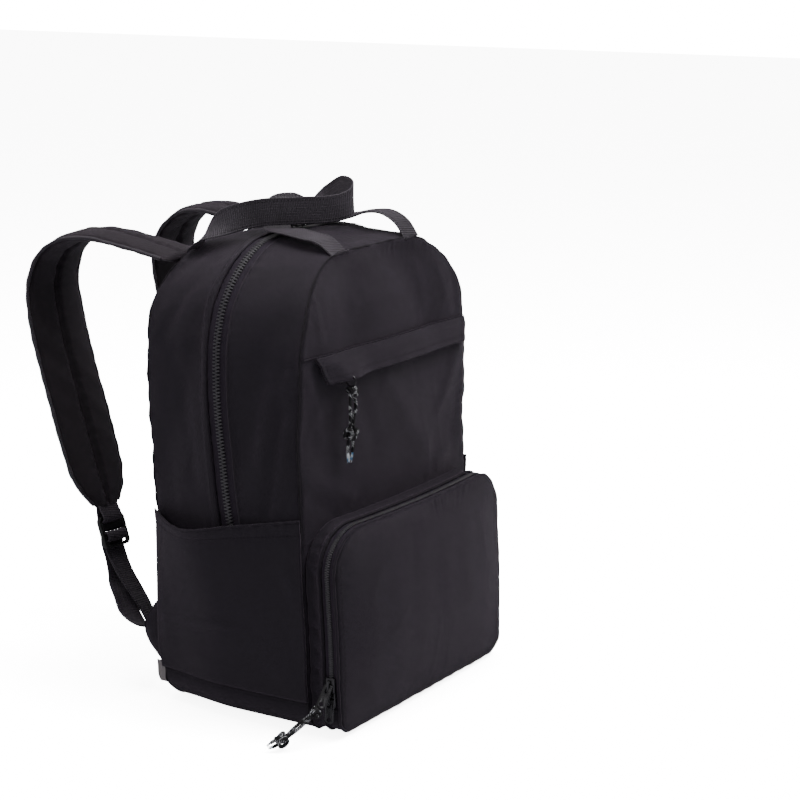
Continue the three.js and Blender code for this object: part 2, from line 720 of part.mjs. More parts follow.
// Webbing from the wing's tip up behind the buckle, over its third bar and down again as a tail.
// Its way out is counted towards the bag, on both sides alike
function adjuster(side, lift) {
  const end = strapEnd(side, lift);
  const bar = barMiddles[2];
  const tip = wingTip(side);
  const clear = webbingThickness + 2.2;
  const inner = -side;
  const offTip = (x, y, z) => new THREE.Vector3(tip.x + side * x, tip.y + y, tip.z + z);
  const rows = [
    webbingRow(offTip(0, 0.4, 0), direction(side, 0, 0.5)),
    webbingRow(offTip(0, 9, 4), direction(side, 0, 0.3)),
    webbingRow(offTip(-3, 21, 12), direction(side, 0, 0)),
    webbingRow(offTip(-9, 32, 25), direction(side, 0.1, 0)),
    webbingRow(atEnd(end, 0, bar + 40, -9 * inner), direction(side, 0.1, 0)),
  ];
  const threading = [
    { on: 22, out: -wrapReach - clear },
    { on: 4, out: -wrapReach - clear },
    { on: -3.2, out: -wrapReach - 1 },
    { on: -4.4, out: 0 },
    { on: -3.5, out: 3 },
    { on: -1.6, out: wrapReach + 0.5 },
    { on: 1.6, out: wrapReach + 0.5 },
    { on: 3.5, out: 3 },
    { on: 4.2, out: 0 },
    { on: 4.7, out: -2.2 },
    { on: 6.3, out: -wrapReach - 0.3 },
    { on: 10, out: -wrapReach - 0.2 },
    { on: 14, out: -wrapReach - 0.2 },
  ];
  for (const row of threading) {
    rows.push(webbingRow(atEnd(end, 0, bar + row.on, row.out * inner), end.across));
  }
  const tail = [
    { on: 0.3, inwards: 2, out: 2 },
    { on: 0.55, inwards: 5, out: 6 },
    { on: 0.8, inwards: 9, out: 9 },
    { on: 1.0, inwards: 12, out: 10 },
  ];
  for (const row of tail) {
    const on = bar + 14 + row.on * (tailLength - 14);
    const middle = atEnd(end, -row.inwards, on, (row.out - wrapReach) * inner);
    rows.push(webbingRow(middle, direction(side, -0.35 * row.on, 0)));
  }
  return sweep(stationsAlong(rows, 50), webbingSection);
}

// Padded triangular wing sewn into the rear seam, with its tip behind the bag
const wingProfile = [
  { height: 0.0, reach: 0.1, thick: 0.4 },
  { height: 0.2, reach: 0.62, thick: 0.85 },
  { height: 0.42, reach: 1.0, thick: 1 },
  { height: 0.62, reach: 0.92, thick: 1 },
  { height: 0.82, reach: 0.5, thick: 0.8 },
  { height: 1.0, reach: 0.08, thick: 0.4 },
];
const wingTipShare = 0.48;

function wingTip(side) {
  const z = wingFootHeight + wingTipShare * wingHeight;
  const root = onBack(new THREE.Vector3(side * wingX, 0, z));
  return new THREE.Vector3(root.x, root.y + wingReach + layGap, z);
}

function wing(side) {
  const grid = (face) => wingProfile.map((row) => [0, 0.5, 1].map((share) => {
    const z = wingFootHeight + row.height * wingHeight;
    const swell = row.thick * (share === 1 ? 0.35 : 1) * (wingThickness / 2);
    const root = onBack(new THREE.Vector3(side * (wingX + face * swell), 0, z));
    root.y += share * row.reach * wingReach;
    return root;
  }));
  return wall(grid(1), grid(-1));
}

// Small blank cloth tab in the same seam, under the left wing
function labelTab() {
  const grid = (face) => steps(0, tabHeight, 2).map((up) => steps(0, tabLength, 2).map((reach) => {
    const root = onBack(new THREE.Vector3(-tabX + face * (tabThickness / 2), 0, tabFootHeight + up));
    root.y += reach;
    return root;
  }));
  return wall(grid(-1), grid(1));
}

// Handle loops in shares: along the spacing of their ends, along half the depth, and up from the
// crown by the rise; across is the way that the webbing's width points there
const frontHandleRoute = [
  { x: -1.0, y: -0.94, up: -0.3, across: [1, 0, 0] },
  { x: -1.0, y: -0.72, up: 0.0, across: [1, 0, 0.1] },
  { x: -1.0, y: -0.5, up: 0.07, across: [1, -0.1, 0.1] },
  { x: -0.96, y: -0.28, up: 0.12, across: [1, -0.3, 0.1] },
  { x: -0.84, y: -0.04, up: 0.1, across: [0.85, -0.5, 0] },
  { x: -0.62, y: 0.12, up: 0.1, across: [0.5, -0.85, -0.1] },
  { x: -0.3, y: 0.28, up: 0.46, across: [0, -0.6, -0.8] },
  { x: 0.1, y: 0.23, up: 0.48, across: [0, -0.5, -0.8] },
  { x: 0.45, y: 0.06, up: 0.29, across: [-0.4, -0.8, -0.5] },
  { x: 0.7, y: -0.2, up: 0.2, across: [-0.6, -0.7, -0.5] },
  { x: 0.86, y: -0.42, up: 0.3, across: [-0.3, -0.2, -1] },
  { x: 0.92, y: -0.62, up: 0.3, across: [-0.4, -0.1, -1] },
  { x: 0.97, y: -0.8, up: 0.1, across: [-0.9, -0.1, -0.5] },
  { x: 1.0, y: -0.94, up: -0.3, across: [-1, 0, 0] },
];
const rearHandleRoute = [
  { x: -1.0, y: 0.9, up: -0.4, across: [1, 0, 0] },
  { x: -0.97, y: 0.76, up: -0.05, across: [1, 0.2, 0.5] },
  { x: -0.88, y: 0.54, up: 0.26, across: [0.3, 0.2, 1] },
  { x: -0.66, y: 0.22, up: 0.46, across: [0, 0, 1] },
  { x: -0.34, y: -0.08, up: 0.48, across: [0, 0, 1] },
  { x: 0.04, y: -0.3, up: 0.47, across: [0, 0, 1] },
  { x: 0.28, y: -0.37, up: 0.54, across: [0.1, 0.1, 1] },
  { x: 0.5, y: -0.27, up: 0.7, across: [0, 0, 1] },
  { x: 0.68, y: -0.01, up: 0.75, across: [0, 0, 1] },
  { x: 0.84, y: 0.34, up: 0.44, across: [0.1, 0, 1] },
  { x: 0.96, y: 0.7, up: 0.14, across: [1, 0, 0.6] },
  { x: 1.0, y: 0.9, up: -0.4, across: [1, 0, 0] },
];

// Seats a point on the bands over the top, clear of them by the lay gap
function onTop(p) {
  const beyond = Math.max(0, Math.abs(p.x) - (bodyWidth / 2 - topCornerRadius));
  const drop = topCornerRadius - Math.sqrt(topCornerRadius ** 2 - beyond ** 2);
  const guess = new THREE.Vector3(p.x, p.y, bodyHeight - drop);
  guess.x += p.x - settle(guess).x;
  guess.y += p.y - settle(guess).y;
  return new THREE.Vector3(p.x, p.y, settle(guess).z + layGap);
}

function handle(route, halfSpacing) {
  const crown = bodyHeight + crownRise;
  const reach = halfDepth - handleSeamInset;
  const rows = route.map(({ x, y, up, across }) => webbingRow(
    new THREE.Vector3(x * halfSpacing, y * reach, crown + up * handleRise), direction(...across),
  ));
  return sweep(stationsAlong(rows, 34), webbingSection, onTop, onTop);
}

function solidFrom(geometry) {
  const bare = geometry.index ? geometry.toNonIndexed() : geometry;
  for (const name of Object.keys(bare.attributes)) {
    if (name !== 'position') bare.deleteAttribute(name);
  }
  const merged = mergeVertices(bare, 1e-4);
  const vertProperties = new Float32Array(merged.attributes.position.array);
  const triVerts = new Uint32Array(merged.index.array);
  return new wasm.Manifold(new wasm.Mesh({ numProp: 3, vertProperties, triVerts }));
}

function joined(first, second) {
  const mesh = solidFrom(first).add(solidFrom(second)).getMesh();
  const geometry = new THREE.BufferGeometry();
  geometry.setAttribute('position', new THREE.Float32BufferAttribute(mesh.vertProperties, 3));
  geometry.setIndex(Array.from(mesh.triVerts));
  return facingOut(geometry);
}

function polygon(points) {
  return new THREE.Shape(points.map(([x, y]) => new THREE.Vector2(x, y)));
}

// Zip slider: a channel over the chain with a bridge for the pull's pin. Along X, out along Z
function sliderBody(chainWidth, chainRise, rise = bridgeHeight) {
  const inner = chainWidth / 2 + sliderClearance;
  const outer = inner + flangeWidth;
  const roof = chainRise + sliderClearance;
  const top = roof + sliderTop;
  const channel = polygon([
    [-outer, sliderClearance], [-outer, top - 0.8], [-outer + 0.8, top], [outer - 0.8, top],
    [outer, top - 0.8], [outer, sliderClearance], [inner, sliderClearance], [inner, roof],
    [-inner, roof], [-inner, sliderClearance],
  ]);
  const body = new THREE.ExtrudeGeometry(channel, { depth: sliderLength, bevelEnabled: false });
  const turn = new THREE.Matrix4().makeBasis(
    new THREE.Vector3(0, 1, 0), new THREE.Vector3(0, 0, 1), new THREE.Vector3(1, 0, 0),
  );
  body.applyMatrix4(turn).translate(-sliderLength / 2, 0, 0);
  const reach = sliderLength * 0.38;
  const foot = top - 0.2;
  const high = top + rise;
  const arch = polygon([
    [-reach, foot], [-reach, high - 1], [-reach + 1, high],
    [reach - 1, high], [reach, high - 1], [reach, foot],
    [reach - bridgeThickness, foot], [reach - bridgeThickness, high - bridgeThickness],
    [-reach + bridgeThickness, high - bridgeThickness], [-reach + bridgeThickness, foot],
  ]);
  const bridge = new THREE.ExtrudeGeometry(arch, { depth: bridgeWidth, bevelEnabled: false });
  bridge.translate(0, 0, -bridgeWidth / 2).rotateX(Math.PI / 2);
  return joined(body, bridge);
}

function pinHeight(chainRise, rise = bridgeHeight) {
  return chainRise + sliderClearance + sliderTop + (rise - bridgeThickness) / 2;
}

// Flat pull tab, its pin on the origin along Y and its plate along X, with an eye near its end
function pullTab(length) {
  const half = pullWidth / 2;
  const nose = half * 0.5;
  const start = -pinWidth / 2;
  const plate = polygon([
    [start, -half], [length - nose, -half], [length, -half + nose], [length, half - nose],
    [length - nose, half], [start, half],
  ]);
  const windowEnd = sliderLength * 0.38 + bridgeThickness + 1.2;
  const slit = bridgeWidth / 2 + sliderClearance;
  const near = pinWidth / 2;
  plate.holes.push(polygon([[near, -slit], [near, slit], [windowEnd, slit], [windowEnd, -slit]]));
  const eye = new THREE.Path();
  eye.absarc(length - pullEye / 2 - 1.5, 0, pullEye / 2, 0, Math.PI * 2, true);
  if (length - pullEye - 2 > windowEnd) plate.holes.push(eye);
  const options = { depth: pullThickness, bevelEnabled: false, curveSegments: 8 };
  return new THREE.ExtrudeGeometry(plate, options).translate(0, 0, -pullThickness / 2);
}

// Places a piece with its own X and Z axes on two directions at a point
function seated(geometry, origin, along, out) {
  const z = out.clone().normalize();
  const x = along.clone().addScaledVector(z, -along.dot(z)).normalize();
  const y = new THREE.Vector3().crossVectors(z, x);
  return { geometry, matrix: new THREE.Matrix4().makeBasis(x, y, z).setPosition(origin) };
}

// Where each slider sits: on the tape under it, with the way along the zip and the way out
function mainSeat(x) {
  const on = (at) => placed({ x: at, z: bodyHeight, nx: 0, nz: 1 }, zipLine(bodyHeight), 0, layGap);
  const along = on(x + 1).sub(on(x - 1));
  return { origin: on(x), along, out: new THREE.Vector3(0, 0, 1) };
}

function flapSeat(x) {
  const on = (at) => onFront(at, flapZipHeight, layGap + tapeThickness);
  return { origin: on(x), along: on(x + 1).sub(on(x - 1)), out: new THREE.Vector3(0, -1, 0) };
}

function pocketSeat(z) {
  const on = (at) => onPocket({ x: -pocketWidth / 2, z: at, nx: -1, nz: 0 }, pocketZipDepth, layGap);
  return { origin: on(z), along: on(z - 1).sub(on(z + 1)), out: new THREE.Vector3(-1, 0, 0) };
}

// A pull on its slider's pin, swung up from the zip by an angle in degrees
function pullOn(seat, length, chainRise, swing, twist = 0) {
  const { matrix } = seated(null, seat.origin, seat.along, seat.out);
  const pin = new THREE.Vector3(0, 0, pinHeight(chainRise));
  const turn = new THREE.Matrix4().makeRotationY(-THREE.MathUtils.degToRad(swing));
  const yaw = new THREE.Matrix4().makeRotationZ(THREE.MathUtils.degToRad(twist));
  turn.premultiply(yaw).setPosition(pin);
  return { geometry: pullTab(length), matrix: matrix.multiply(turn) };
}

// Wire ring through the flap slider's bridge, leaning down from it
function flapRing(seat) {
  const geometry = new THREE.TorusGeometry(ringRadius, ringWire / 2, 6, 14);
  geometry.rotateY(Math.PI / 2).translate(0, 0, ringRadius);
  const { matrix } = seated(null, seat.origin, seat.along, seat.out);
  const lean = new THREE.Matrix4().makeRotationX(THREE.MathUtils.degToRad(ringLean));
  lean.setPosition(0, 0, pinHeight(smallChainRise, ringBridgeHeight));
  return { geometry, matrix: matrix.multiply(lean) };
}

// Round cord along a few points
function cordTube(points) {
  const sides = 8;
  const radius = cordDiameter / 2;
  const circle = steps(0, Math.PI * 2, sides).slice(0, -1);
  const shape = polygon(circle.map((angle) => [radius * Math.cos(angle), radius * Math.sin(angle)]));
  const curve = new THREE.CatmullRomCurve3(points.map(([x, y, z]) => new THREE.Vector3(x, y, z)));
  const count = Math.ceil(curve.getLength() / (2.2 * cordDiameter));
  return new THREE.ExtrudeGeometry(shape, { steps: count, extrudePath: curve, bevelEnabled: false });
}

// Knots are round bodies on an axis; each row gives the way along and the radius in shares
function turned(profile, length, radius) {
  const points = profile.map((row) => new THREE.Vector2(row.radius * radius, row.along * length));
  return new THREE.LatheGeometry(points, 9).rotateX(Math.PI / 2);
}

const hitchProfile = [
  { along: 0, radius: 0 },
  { along: 0, radius: 0.55 },
  { along: 0.3, radius: 1 },
  { along: 0.7, radius: 0.95 },
  { along: 1, radius: 0.5 },
  { along: 1, radius: 0 },
];
const cordEndProfile = [
  { along: 0, radius: 0 },
  { along: 0, radius: 0.5 },
  { along: 0.08, radius: 0.95 },
  { along: 0.18, radius: 1 },
  { along: 0.28, radius: 0.55 },
  { along: 0.4, radius: 0.42 },
  { along: 0.62, radius: 0.62 },
  { along: 0.84, radius: 0.5 },
  { along: 1, radius: 0.22 },
  { along: 1, radius: 0 },
];

// Middle between the two strands of a cord at one of their points
function strandsMiddle(strands, index) {
  const [first, second] = strands.map((points) => new THREE.Vector3(...points.at(index)));
  return first.add(second).multiplyScalar(0.5);
}

// Seats a turned piece with its axis on a direction
function onAxis(geometry, origin, way) {
  const across = new THREE.Vector3(1, 0, 0).addScaledVector(way, -way.x);
  return seated(geometry, origin, across, way);
}

const group = new THREE.Group();

function add(name, geometry, look, matrix = null) {
  const mesh = new THREE.Mesh(geometry, new THREE.MeshStandardMaterial(finish[look]));
  mesh.name = name;
  if (matrix) matrix.decompose(mesh.position, mesh.quaternion, mesh.scale);
  group.add(mesh);
  return mesh;
}

function addSeated(name, piece, look) {
  return add(name, piece.geometry, look, piece.matrix);
}

const sides = [
  { name: 'left', side: -1, lift: 0 },
  { name: 'right', side: 1, lift: 7 },
];

add('front_panel', facePanel(-1), 'nylon');
add('back_panel', facePanel(1), 'nylon');
add('base_panel', basePanel(), 'nylon');
add('top_band_front', frontBand(), 'nylon');
add('top_band_rear', rearBand(), 'nylon');
add('main_zip', mainZip(), 'zip');
add('pocket_front', pocketFront(), 'nylon');
add('pocket_gusset', pocketGusset(), 'nylon');
add('pocket_zip', pocketZip(), 'zip');
add('pocket_base', pocketBase(), 'nylon');
add('front_flap', frontFlap(), 'nylon');
add('flap_zip', flapZip(), 'zip');
for (const { name, side, lift } of sides) {
  add(`side_panel_${name}`, sidePanel(side), 'nylon');
  add(`side_pocket_${name}`, sidePocket(side), 'nylon');
  add(`strap_${name}`, shoulderStrap(side, lift), 'strap');
  add(`keeper_${name}`, keeper(side, lift), 'webbing');
  add(`buckle_${name}`, buckle(side, lift), 'plastic');
  add(`adjuster_${name}`, adjuster(side, lift), 'webbing');
  add(`wing_${name}`, wing(side), 'nylon');
}
add('label_tab', labelTab(), 'label');
add('handle_front', handle(frontHandleRoute, frontHandleX), 'webbing');
add('handle_rear', handle(rearHandleRoute, rearHandleX), 'webbing');

const mainPlace = mainSeat(mainSliderX);
const flapPlace = flapSeat(flapSliderX);
const firstPlace = pocketSeat(pocketSliderHeight + sliderLength + seamGap);
const secondPlace = pocketSeat(pocketSliderHeight);

function addSlider(name, seat, chainWidth, chainRise, rise) {
  const body = sliderBody(chainWidth, chainRise, rise);
  addSeated(name, seated(body, seat.origin, seat.along, seat.out), 'metal');
}

addSlider('main_slider', mainPlace, mainChainWidth, mainChainRise);
addSeated('main_pull', pullOn(mainPlace, mainPullLength, mainChainRise, 4), 'metal');
addSlider('flap_slider', flapPlace, smallChainWidth, smallChainRise, ringBridgeHeight);
addSeated('flap_ring', flapRing(flapPlace), 'metal');
addSlider('pocket_slider_first', firstPlace, smallChainWidth, smallChainRise);
const firstPull = pullOn(firstPlace, pocketPullLength, smallChainRise, firstPullSwing, firstPullTwist);
addSeated('pocket_pull_first', firstPull, 'metal');
addSlider('pocket_slider_second', secondPlace, smallChainWidth, smallChainRise);
const secondPull = pullOn(secondPlace, pocketPullLength, smallChainRise, 6);
addSeated('pocket_pull_second', secondPull, 'metal');

// A hitch at the pull, two strands down to the knot, and the knot with its frayed end
function addCord(name, strands, hitchWay, endWay, endLength) {
  const top = strandsMiddle(strands, 0).addScaledVector(hitchWay, -hitchLength - seamGap);
  const hitch = turned(hitchProfile, hitchLength, hitchDiameter / 2);
  addSeated(`${name}_hitch`, onAxis(hitch, top, hitchWay), 'cord');
  strands.forEach((points, i) => add(`${name}_strand_${i + 1}`, cordTube(points), 'cord'));
  const foot = strandsMiddle(strands, -1).addScaledVector(endWay, 2 * seamGap);
  const end = turned(cordEndProfile, endLength, knotDiameter / 2);
  addSeated(`${name}_end`, onAxis(end, foot, endWay), 'cord');
}

const pocketHitchWay = direction(-0.6, 0.52, -0.6);
const pocketEndWay = direction(-0.66, 0.6, -0.41);
addCord('flap_cord', flapCordStrands, direction(0, 0.02, -1), direction(-0.03, 0.06, -1), flapEndLength);
addCord('pocket_cord', pocketCordStrands, pocketHitchWay, pocketEndWay, pocketEndLength);

export default group;
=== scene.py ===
"""A soft near-black nylon backpack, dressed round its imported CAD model: slack cloth panels, seams
with stitches, zips with teeth, padded straps, ribbed webbing, metal sliders and knotted cords."""

import math

import bmesh
import bpy
import numpy as np
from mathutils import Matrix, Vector


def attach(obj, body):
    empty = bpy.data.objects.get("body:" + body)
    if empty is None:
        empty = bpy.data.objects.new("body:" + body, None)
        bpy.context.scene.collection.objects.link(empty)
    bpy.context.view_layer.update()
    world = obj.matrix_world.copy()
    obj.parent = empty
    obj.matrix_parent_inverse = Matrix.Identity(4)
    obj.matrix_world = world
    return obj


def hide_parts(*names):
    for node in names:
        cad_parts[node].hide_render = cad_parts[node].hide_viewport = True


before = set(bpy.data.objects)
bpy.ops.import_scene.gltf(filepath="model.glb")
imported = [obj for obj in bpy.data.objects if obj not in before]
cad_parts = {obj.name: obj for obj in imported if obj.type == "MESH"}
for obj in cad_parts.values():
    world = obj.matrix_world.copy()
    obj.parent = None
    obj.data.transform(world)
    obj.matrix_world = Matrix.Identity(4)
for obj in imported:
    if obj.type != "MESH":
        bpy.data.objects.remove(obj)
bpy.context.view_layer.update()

bl_info = {
    "name": "Packable Backpack",
    "version": (1, 0, 0),
    "blender": (4, 5, 0),
    "location": "3D View > Sidebar > Backpack",
    "description": "Dresses the packed backpack with cloth, zips, straps, webbing and cords",
    "category": "Add Mesh",
}

# Main body, in millimetres like every length below that has no unit of its own
BODY_WIDTH = 276
BODY_DEPTH = 172
BODY_HEIGHT = 418
TOP_RADIUS = 82
FOOT_RADIUS = 26
CROWN_RISE = 12
SIDE_BULGE = 7
FACE_BULGE = 8
HALF_WIDTH = BODY_WIDTH / 2
HALF_DEPTH = BODY_DEPTH / 2

CLOTH = 2
SEAM_GAP = 0.3
LAY_GAP = 0.5
SEAM_INSET = CLOTH + SEAM_GAP
BASE_SEAM = 32
ZIP_END = 166
HEM_HEIGHT = 190

# Zips
MAIN_TAPE = 20
MAIN_CHAIN = 7
MAIN_RISE = 1.8
ZIP_TOP_Y = 4
ZIP_SWEEP = 21
SMALL_RISE = 1.3
TAPE_THICKNESS = 1.2

# Side pockets
HEM_GAPE = 13
HEM_RISE = 7
HEM_SAG = 5

# Flap and the zip under it
FLAP_WIDTH = 240
FLAP_TOP = 337
FLAP_DROP = 19
FLAP_SLANT = 9
FLAP_ZIP_HEIGHT = 315
FLAP_THICKNESS = 1.8
FLAP_END_LIFT = 8
FLAP_ZIP_WIDTH = 228
FLAP_TAPE = 10
FLAP_SLIDER_X = -82
# How far the dressed flap goes on past its right end, and how far it hangs down
FLAP_OVERRUN = 14
FLAP_HANG = 22.5

# Front pocket
POCKET_WIDTH = 282
POCKET_X = 7
POCKET_HEIGHT = 184
POCKET_FOOT = 5
POCKET_DEPTH = 29
POCKET_TOP_RADIUS = 40
POCKET_FOOT_RADIUS = 15
POCKET_BULGE = 10
POCKET_TAPE = 13
POCKET_ZIP_END = 30
POCKET_ZIP_DEPTH = POCKET_DEPTH - POCKET_TAPE / 2 - SEAM_GAP
GUSSET_DEPTH = POCKET_DEPTH - POCKET_TAPE - 2 * SEAM_GAP

# Shoulder straps, webbing and buckles
STRAP_WIDTH = 72
STRAP_THICKNESS = 11
STRAP_ROOT_X = 80
STRAP_ROOT_DROP = 10
STRAP_REACH = 146
STRAP_RISE = 18
WEB_WIDTH = 25
WEB_THICKNESS = 1.6
BUCKLE_WIDTH = 34
BUCKLE_LENGTH = 31
BUCKLE_THICKNESS = 4.6
BUCKLE_BAR = 4
BUCKLE_DROP = 9
BUCKLE_PITCH = (BUCKLE_LENGTH - BUCKLE_BAR) / 3
WRAP_REACH = BUCKLE_THICKNESS / 2 + SEAM_GAP + WEB_THICKNESS / 2
TAIL_LENGTH = 84

# Wings and the blank tab
WING_X = 121
WING_FOOT = 33
WING_HEIGHT = 62
WING_REACH = 21
WING_THICKNESS = 6
WING_TIP_SHARE = 0.48
TAB_X = 119
TAB_FOOT = 13
TAB_HEIGHT = 20
TAB_LENGTH = 12
TAB_THICKNESS = 1

# Handles
FRONT_HANDLE_X = 59
REAR_HANDLE_X = 80
HANDLE_RISE = 40
HANDLE_REACH = HALF_DEPTH - 7

# Cords
CORD_RADIUS = 1.5

# Left and right, with how much higher each strap stands
SIDES = [
    {"name": "left", "side": -1, "lift": 0},
    {"name": "right", "side": 1, "lift": 7},
]

# The slack body at shares of its height: half depth to the front and rear, half width, and half
# width of the rear seam, as shares of the named sizes
SLACK_COLUMNS = ("height", "front", "rear", "width", "back")
SLACK_ROWS = [
    (0.0, 1.03, 0.84, 0.965, 0.9),
    (0.05, 1.05, 0.92, 0.99, 0.92),
    (0.14, 1.04, 0.97, 1.0, 0.93),
    (0.42, 0.99, 0.955, 1.005, 0.935),
    (0.55, 0.985, 0.99, 1.005, 0.95),
    (0.7, 0.985, 1.01, 1.005, 0.96),
    (0.88, 0.975, 1.0, 0.985, 0.955),
    (1.0, 0.87, 0.87, 0.96, 0.94),
]
SLACK = {name: np.array(SLACK_ROWS)[:, i] for i, name in enumerate(SLACK_COLUMNS)}

# Dents and folds: face, line from one point to another in shares, reach and push in shares
FOLDS = [
    ("front", (-0.4, -1, 0.95), (-0.45, -1, 0.85), 0.15, -0.02),
    ("front", (0.3, -1, 0.94), (0.5, -1, 0.84), 0.15, -0.018),
    ("front", (-0.9, -1, 0.63), (0.85, -1, 0.57), 0.15, -0.02),
    ("side", (-1, -0.75, 0.86), (-1, -0.35, 0.6), 0.13, -0.022),
    ("side", (-1, 0.3, 0.85), (-1, 0.75, 0.55), 0.13, -0.02),
    ("side", (1, -0.7, 0.8), (1, -0.3, 0.55), 0.14, -0.022),
    ("side", (1, 0.4, 0.8), (1, 0.7, 0.5), 0.13, -0.018),
    ("top", (-0.6, 0.35, 1), (0.4, 0.5, 1), 0.12, -0.02),
    ("top", (-0.1, -0.6, 1), (0.65, -0.4, 1), 0.12, -0.018),
]

# Fine creases in the cloth: line from one point to another and the crease's reach, all in
# millimetres on the settled body, then its push outwards
CREASES = [
    ((-118, -86, 404), (-106, -90, 352), 5, 1.6),
    ((-104, -86, 411), (-96, -90, 366), 4, 1.3),
    ((-88, -86, 414), (-84, -90, 380), 4, -1.2),
    ((-60, -84, 416), (-52, -90, 372), 6, 1.1),
    ((52, -84, 414), (66, -90, 356), 7, 1.3),
    ((84, -84, 408), (98, -90, 362), 6, 1.2),
    ((112, -86, 392), (120, -90, 344), 7, -1.2),
    ((-126, -92, 318), (-108, -92, 262), 8, 1.4),
    ((-60, -92, 306), (-30, -92, 250), 11, -1.2),
    ((-10, -92, 300), (60, -92, 226), 12, 1.3),
    ((124, -92, 316), (92, -92, 256), 9, 1.5),
    ((130, -92, 286), (112, -92, 214), 8, -1.2),
    ((-132, -92, 232), (-70, -92, 206), 8, 1.3),
    ((134, -92, 220), (80, -92, 204), 8, 1.2),
    ((-142, -60, 350), (-144, -44, 250), 8, 1.5),
    ((-142, -66, 290), (-144, -52, 200), 6, -1.2),
    ((-138, 34, 380), (-146, 58, 270), 9, 1.7),
    ((-142, 52, 330), (-144, 30, 220), 10, -1.5),
    ((-142, 74, 300), (-146, 50, 200), 8, 1.3),
    ((-120, 40, 410), (-134, 66, 340), 7, -1.2),
    ((142, -60, 350), (144, -44, 250), 8, 1.5),
    ((138, 34, 380), (146, 58, 270), 9, 1.7),
    ((142, 52, 330), (144, 30, 220), 10, -1.5),
    ((-90, 88, 380), (-40, 90, 300), 10, 1.6),
    ((90, 88, 372), (30, 90, 286), 10, 1.6),
    ((-110, 88, 210), (40, 86, 160), 11, 1.5),
    ((60, 88, 140), (116, 84, 70), 10, 1.4),
    ((-60, -40, 428), (10, -56, 430), 8, -1.2),
    ((-139, -80, 372), (-139, -84, 330), 6, -1.3),
    ((-139, -80, 268), (-139, -84, 236), 6, -1.2),
    ((-139, -70, 150), (-139, -82, 128), 7, -1.3),
    ((-139, 70, 178), (-140, 20, 168), 9, -1.4),
    ((-128, -92, 214), (-96, -94, 196), 6, -1.6),
    ((20, -20, 430), (84, -44, 424), 8, 1.2),
    ((-40, 50, 430), (50, 62, 430), 8, 1.3),
]

# The flap's bow: share of the way down, and distance from the front as a share of its drop
FLAP_ROWS = [(0.0, 0.02), (0.3, 0.17), (0.6, 0.19), (1.0, 0.26)]

# Middle line of a strap in shares: back, up, spread, then width, thickness and turn
STRAP_ROUTE = [
    (0.0, 0.0, 0.0, 0.8, 0.75, 0),
    (0.16, 0.25, 0.02, 0.8, 0.9, 0),
    (0.38, 0.55, 0.04, 0.8, 1, 0),
    (0.58, 0.72, 0.06, 0.82, 1, 0),
    (0.78, 0.5, 0.09, 0.85, 1, 0.02),
    (0.93, -0.4, 0.12, 0.9, 1, 0.03),
    (0.99, -1.9, 0.15, 0.95, 1, 0.04),
    (0.97, -3.3, 0.17, 1, 1, 0.05),
    (0.92, -4.9, 0.19, 1, 1, 0.05),
    (0.85, -6.6, 0.21, 1, 1, 0.05),
    (0.77, -8.4, 0.23, 1, 1, 0.05),
    (0.69, -10.1, 0.26, 1, 1, 0.05),
    (0.62, -11.6, 0.28, 0.95, 0.95, 0.05),
    (0.57, -12.6, 0.29, 0.74, 0.85, 0.05),
    (0.535, -13.4, 0.3, 0.4, 0.6, 0.05),
]

# Wing in shares of its height, reach and thickness
WING_ROWS = [
    (0.0, 0.1, 0.4),
    (0.2, 0.62, 0.85),
    (0.42, 1.0, 1.0),
    (0.62, 0.92, 1.0),
    (0.82, 0.5, 0.8),
    (1.0, 0.08, 0.4),
]

# Handle loops in shares: x, y and up, and the way that the webbing's width points
FRONT_HANDLE = [
    (-1.0, -0.94, -0.3, (1, 0, 0)),
    (-1.0, -0.72, 0.0, (1, 0, 0.1)),
    (-1.0, -0.5, 0.07, (1, -0.1, 0.1)),
    (-0.96, -0.28, 0.12, (1, -0.3, 0.1)),
    (-0.84, -0.04, 0.1, (0.85, -0.5, 0)),
    (-0.62, 0.12, 0.1, (0.5, -0.85, -0.1)),
    (-0.3, 0.28, 0.46, (0, -0.6, -0.8)),
    (0.1, 0.23, 0.48, (0, -0.5, -0.8)),
    (0.45, 0.06, 0.29, (-0.7, -0.6, -0.3)),
    (0.7, -0.2, 0.2, (-1, -0.3, -0.1)),
    (0.86, -0.42, 0.3, (-1, -0.1, 0)),
    (0.92, -0.62, 0.3, (-1, 0, 0)),
    (0.97, -0.8, 0.1, (-1, 0, 0)),
    (1.0, -0.94, -0.3, (-1, 0, 0)),
]
REAR_HANDLE = [
    (-1.0, 0.9, -0.4, (1, 0, 0)),
    (-0.97, 0.76, -0.05, (1, 0.2, 0.5)),
    (-0.88, 0.54, 0.26, (0.3, 0.2, 1)),
    (-0.66, 0.22, 0.46, (0, 0, 1)),
    (-0.34, -0.08, 0.48, (0, 0, 1)),
    (0.04, -0.3, 0.47, (0, 0, 1)),
    (0.28, -0.37, 0.54, (0.1, 0.1, 1)),
    (0.5, -0.27, 0.7, (0, 0, 1)),
    (0.68, -0.01, 0.75, (0, 0, 1)),
    (0.84, 0.34, 0.44, (0.1, 0, 1)),
    (0.96, 0.7, 0.14, (1, 0, 0.6)),
    (1.0, 0.9, -0.4, (1, 0, 0)),
]

# Webbing through a ladder buckle, counted from the middle of its third bar: on and out
THREADING = [
    (22, -7.2), (4, -7.2), (-3.2, -4.4), (-4.4, 0), (-3.5, 3), (-1.6, 3.9), (1.6, 3.9),
    (3.5, 3), (4.2, 0), (4.7, -2.2), (6.3, -3.7), (10, -3.6), (14, -3.6),
]
# Its free tail: share of its length, inwards and out
TAIL = [(0.3, 2, 2), (0.55, 5, 6), (0.8, 9, 9), (1.0, 12, 10)]
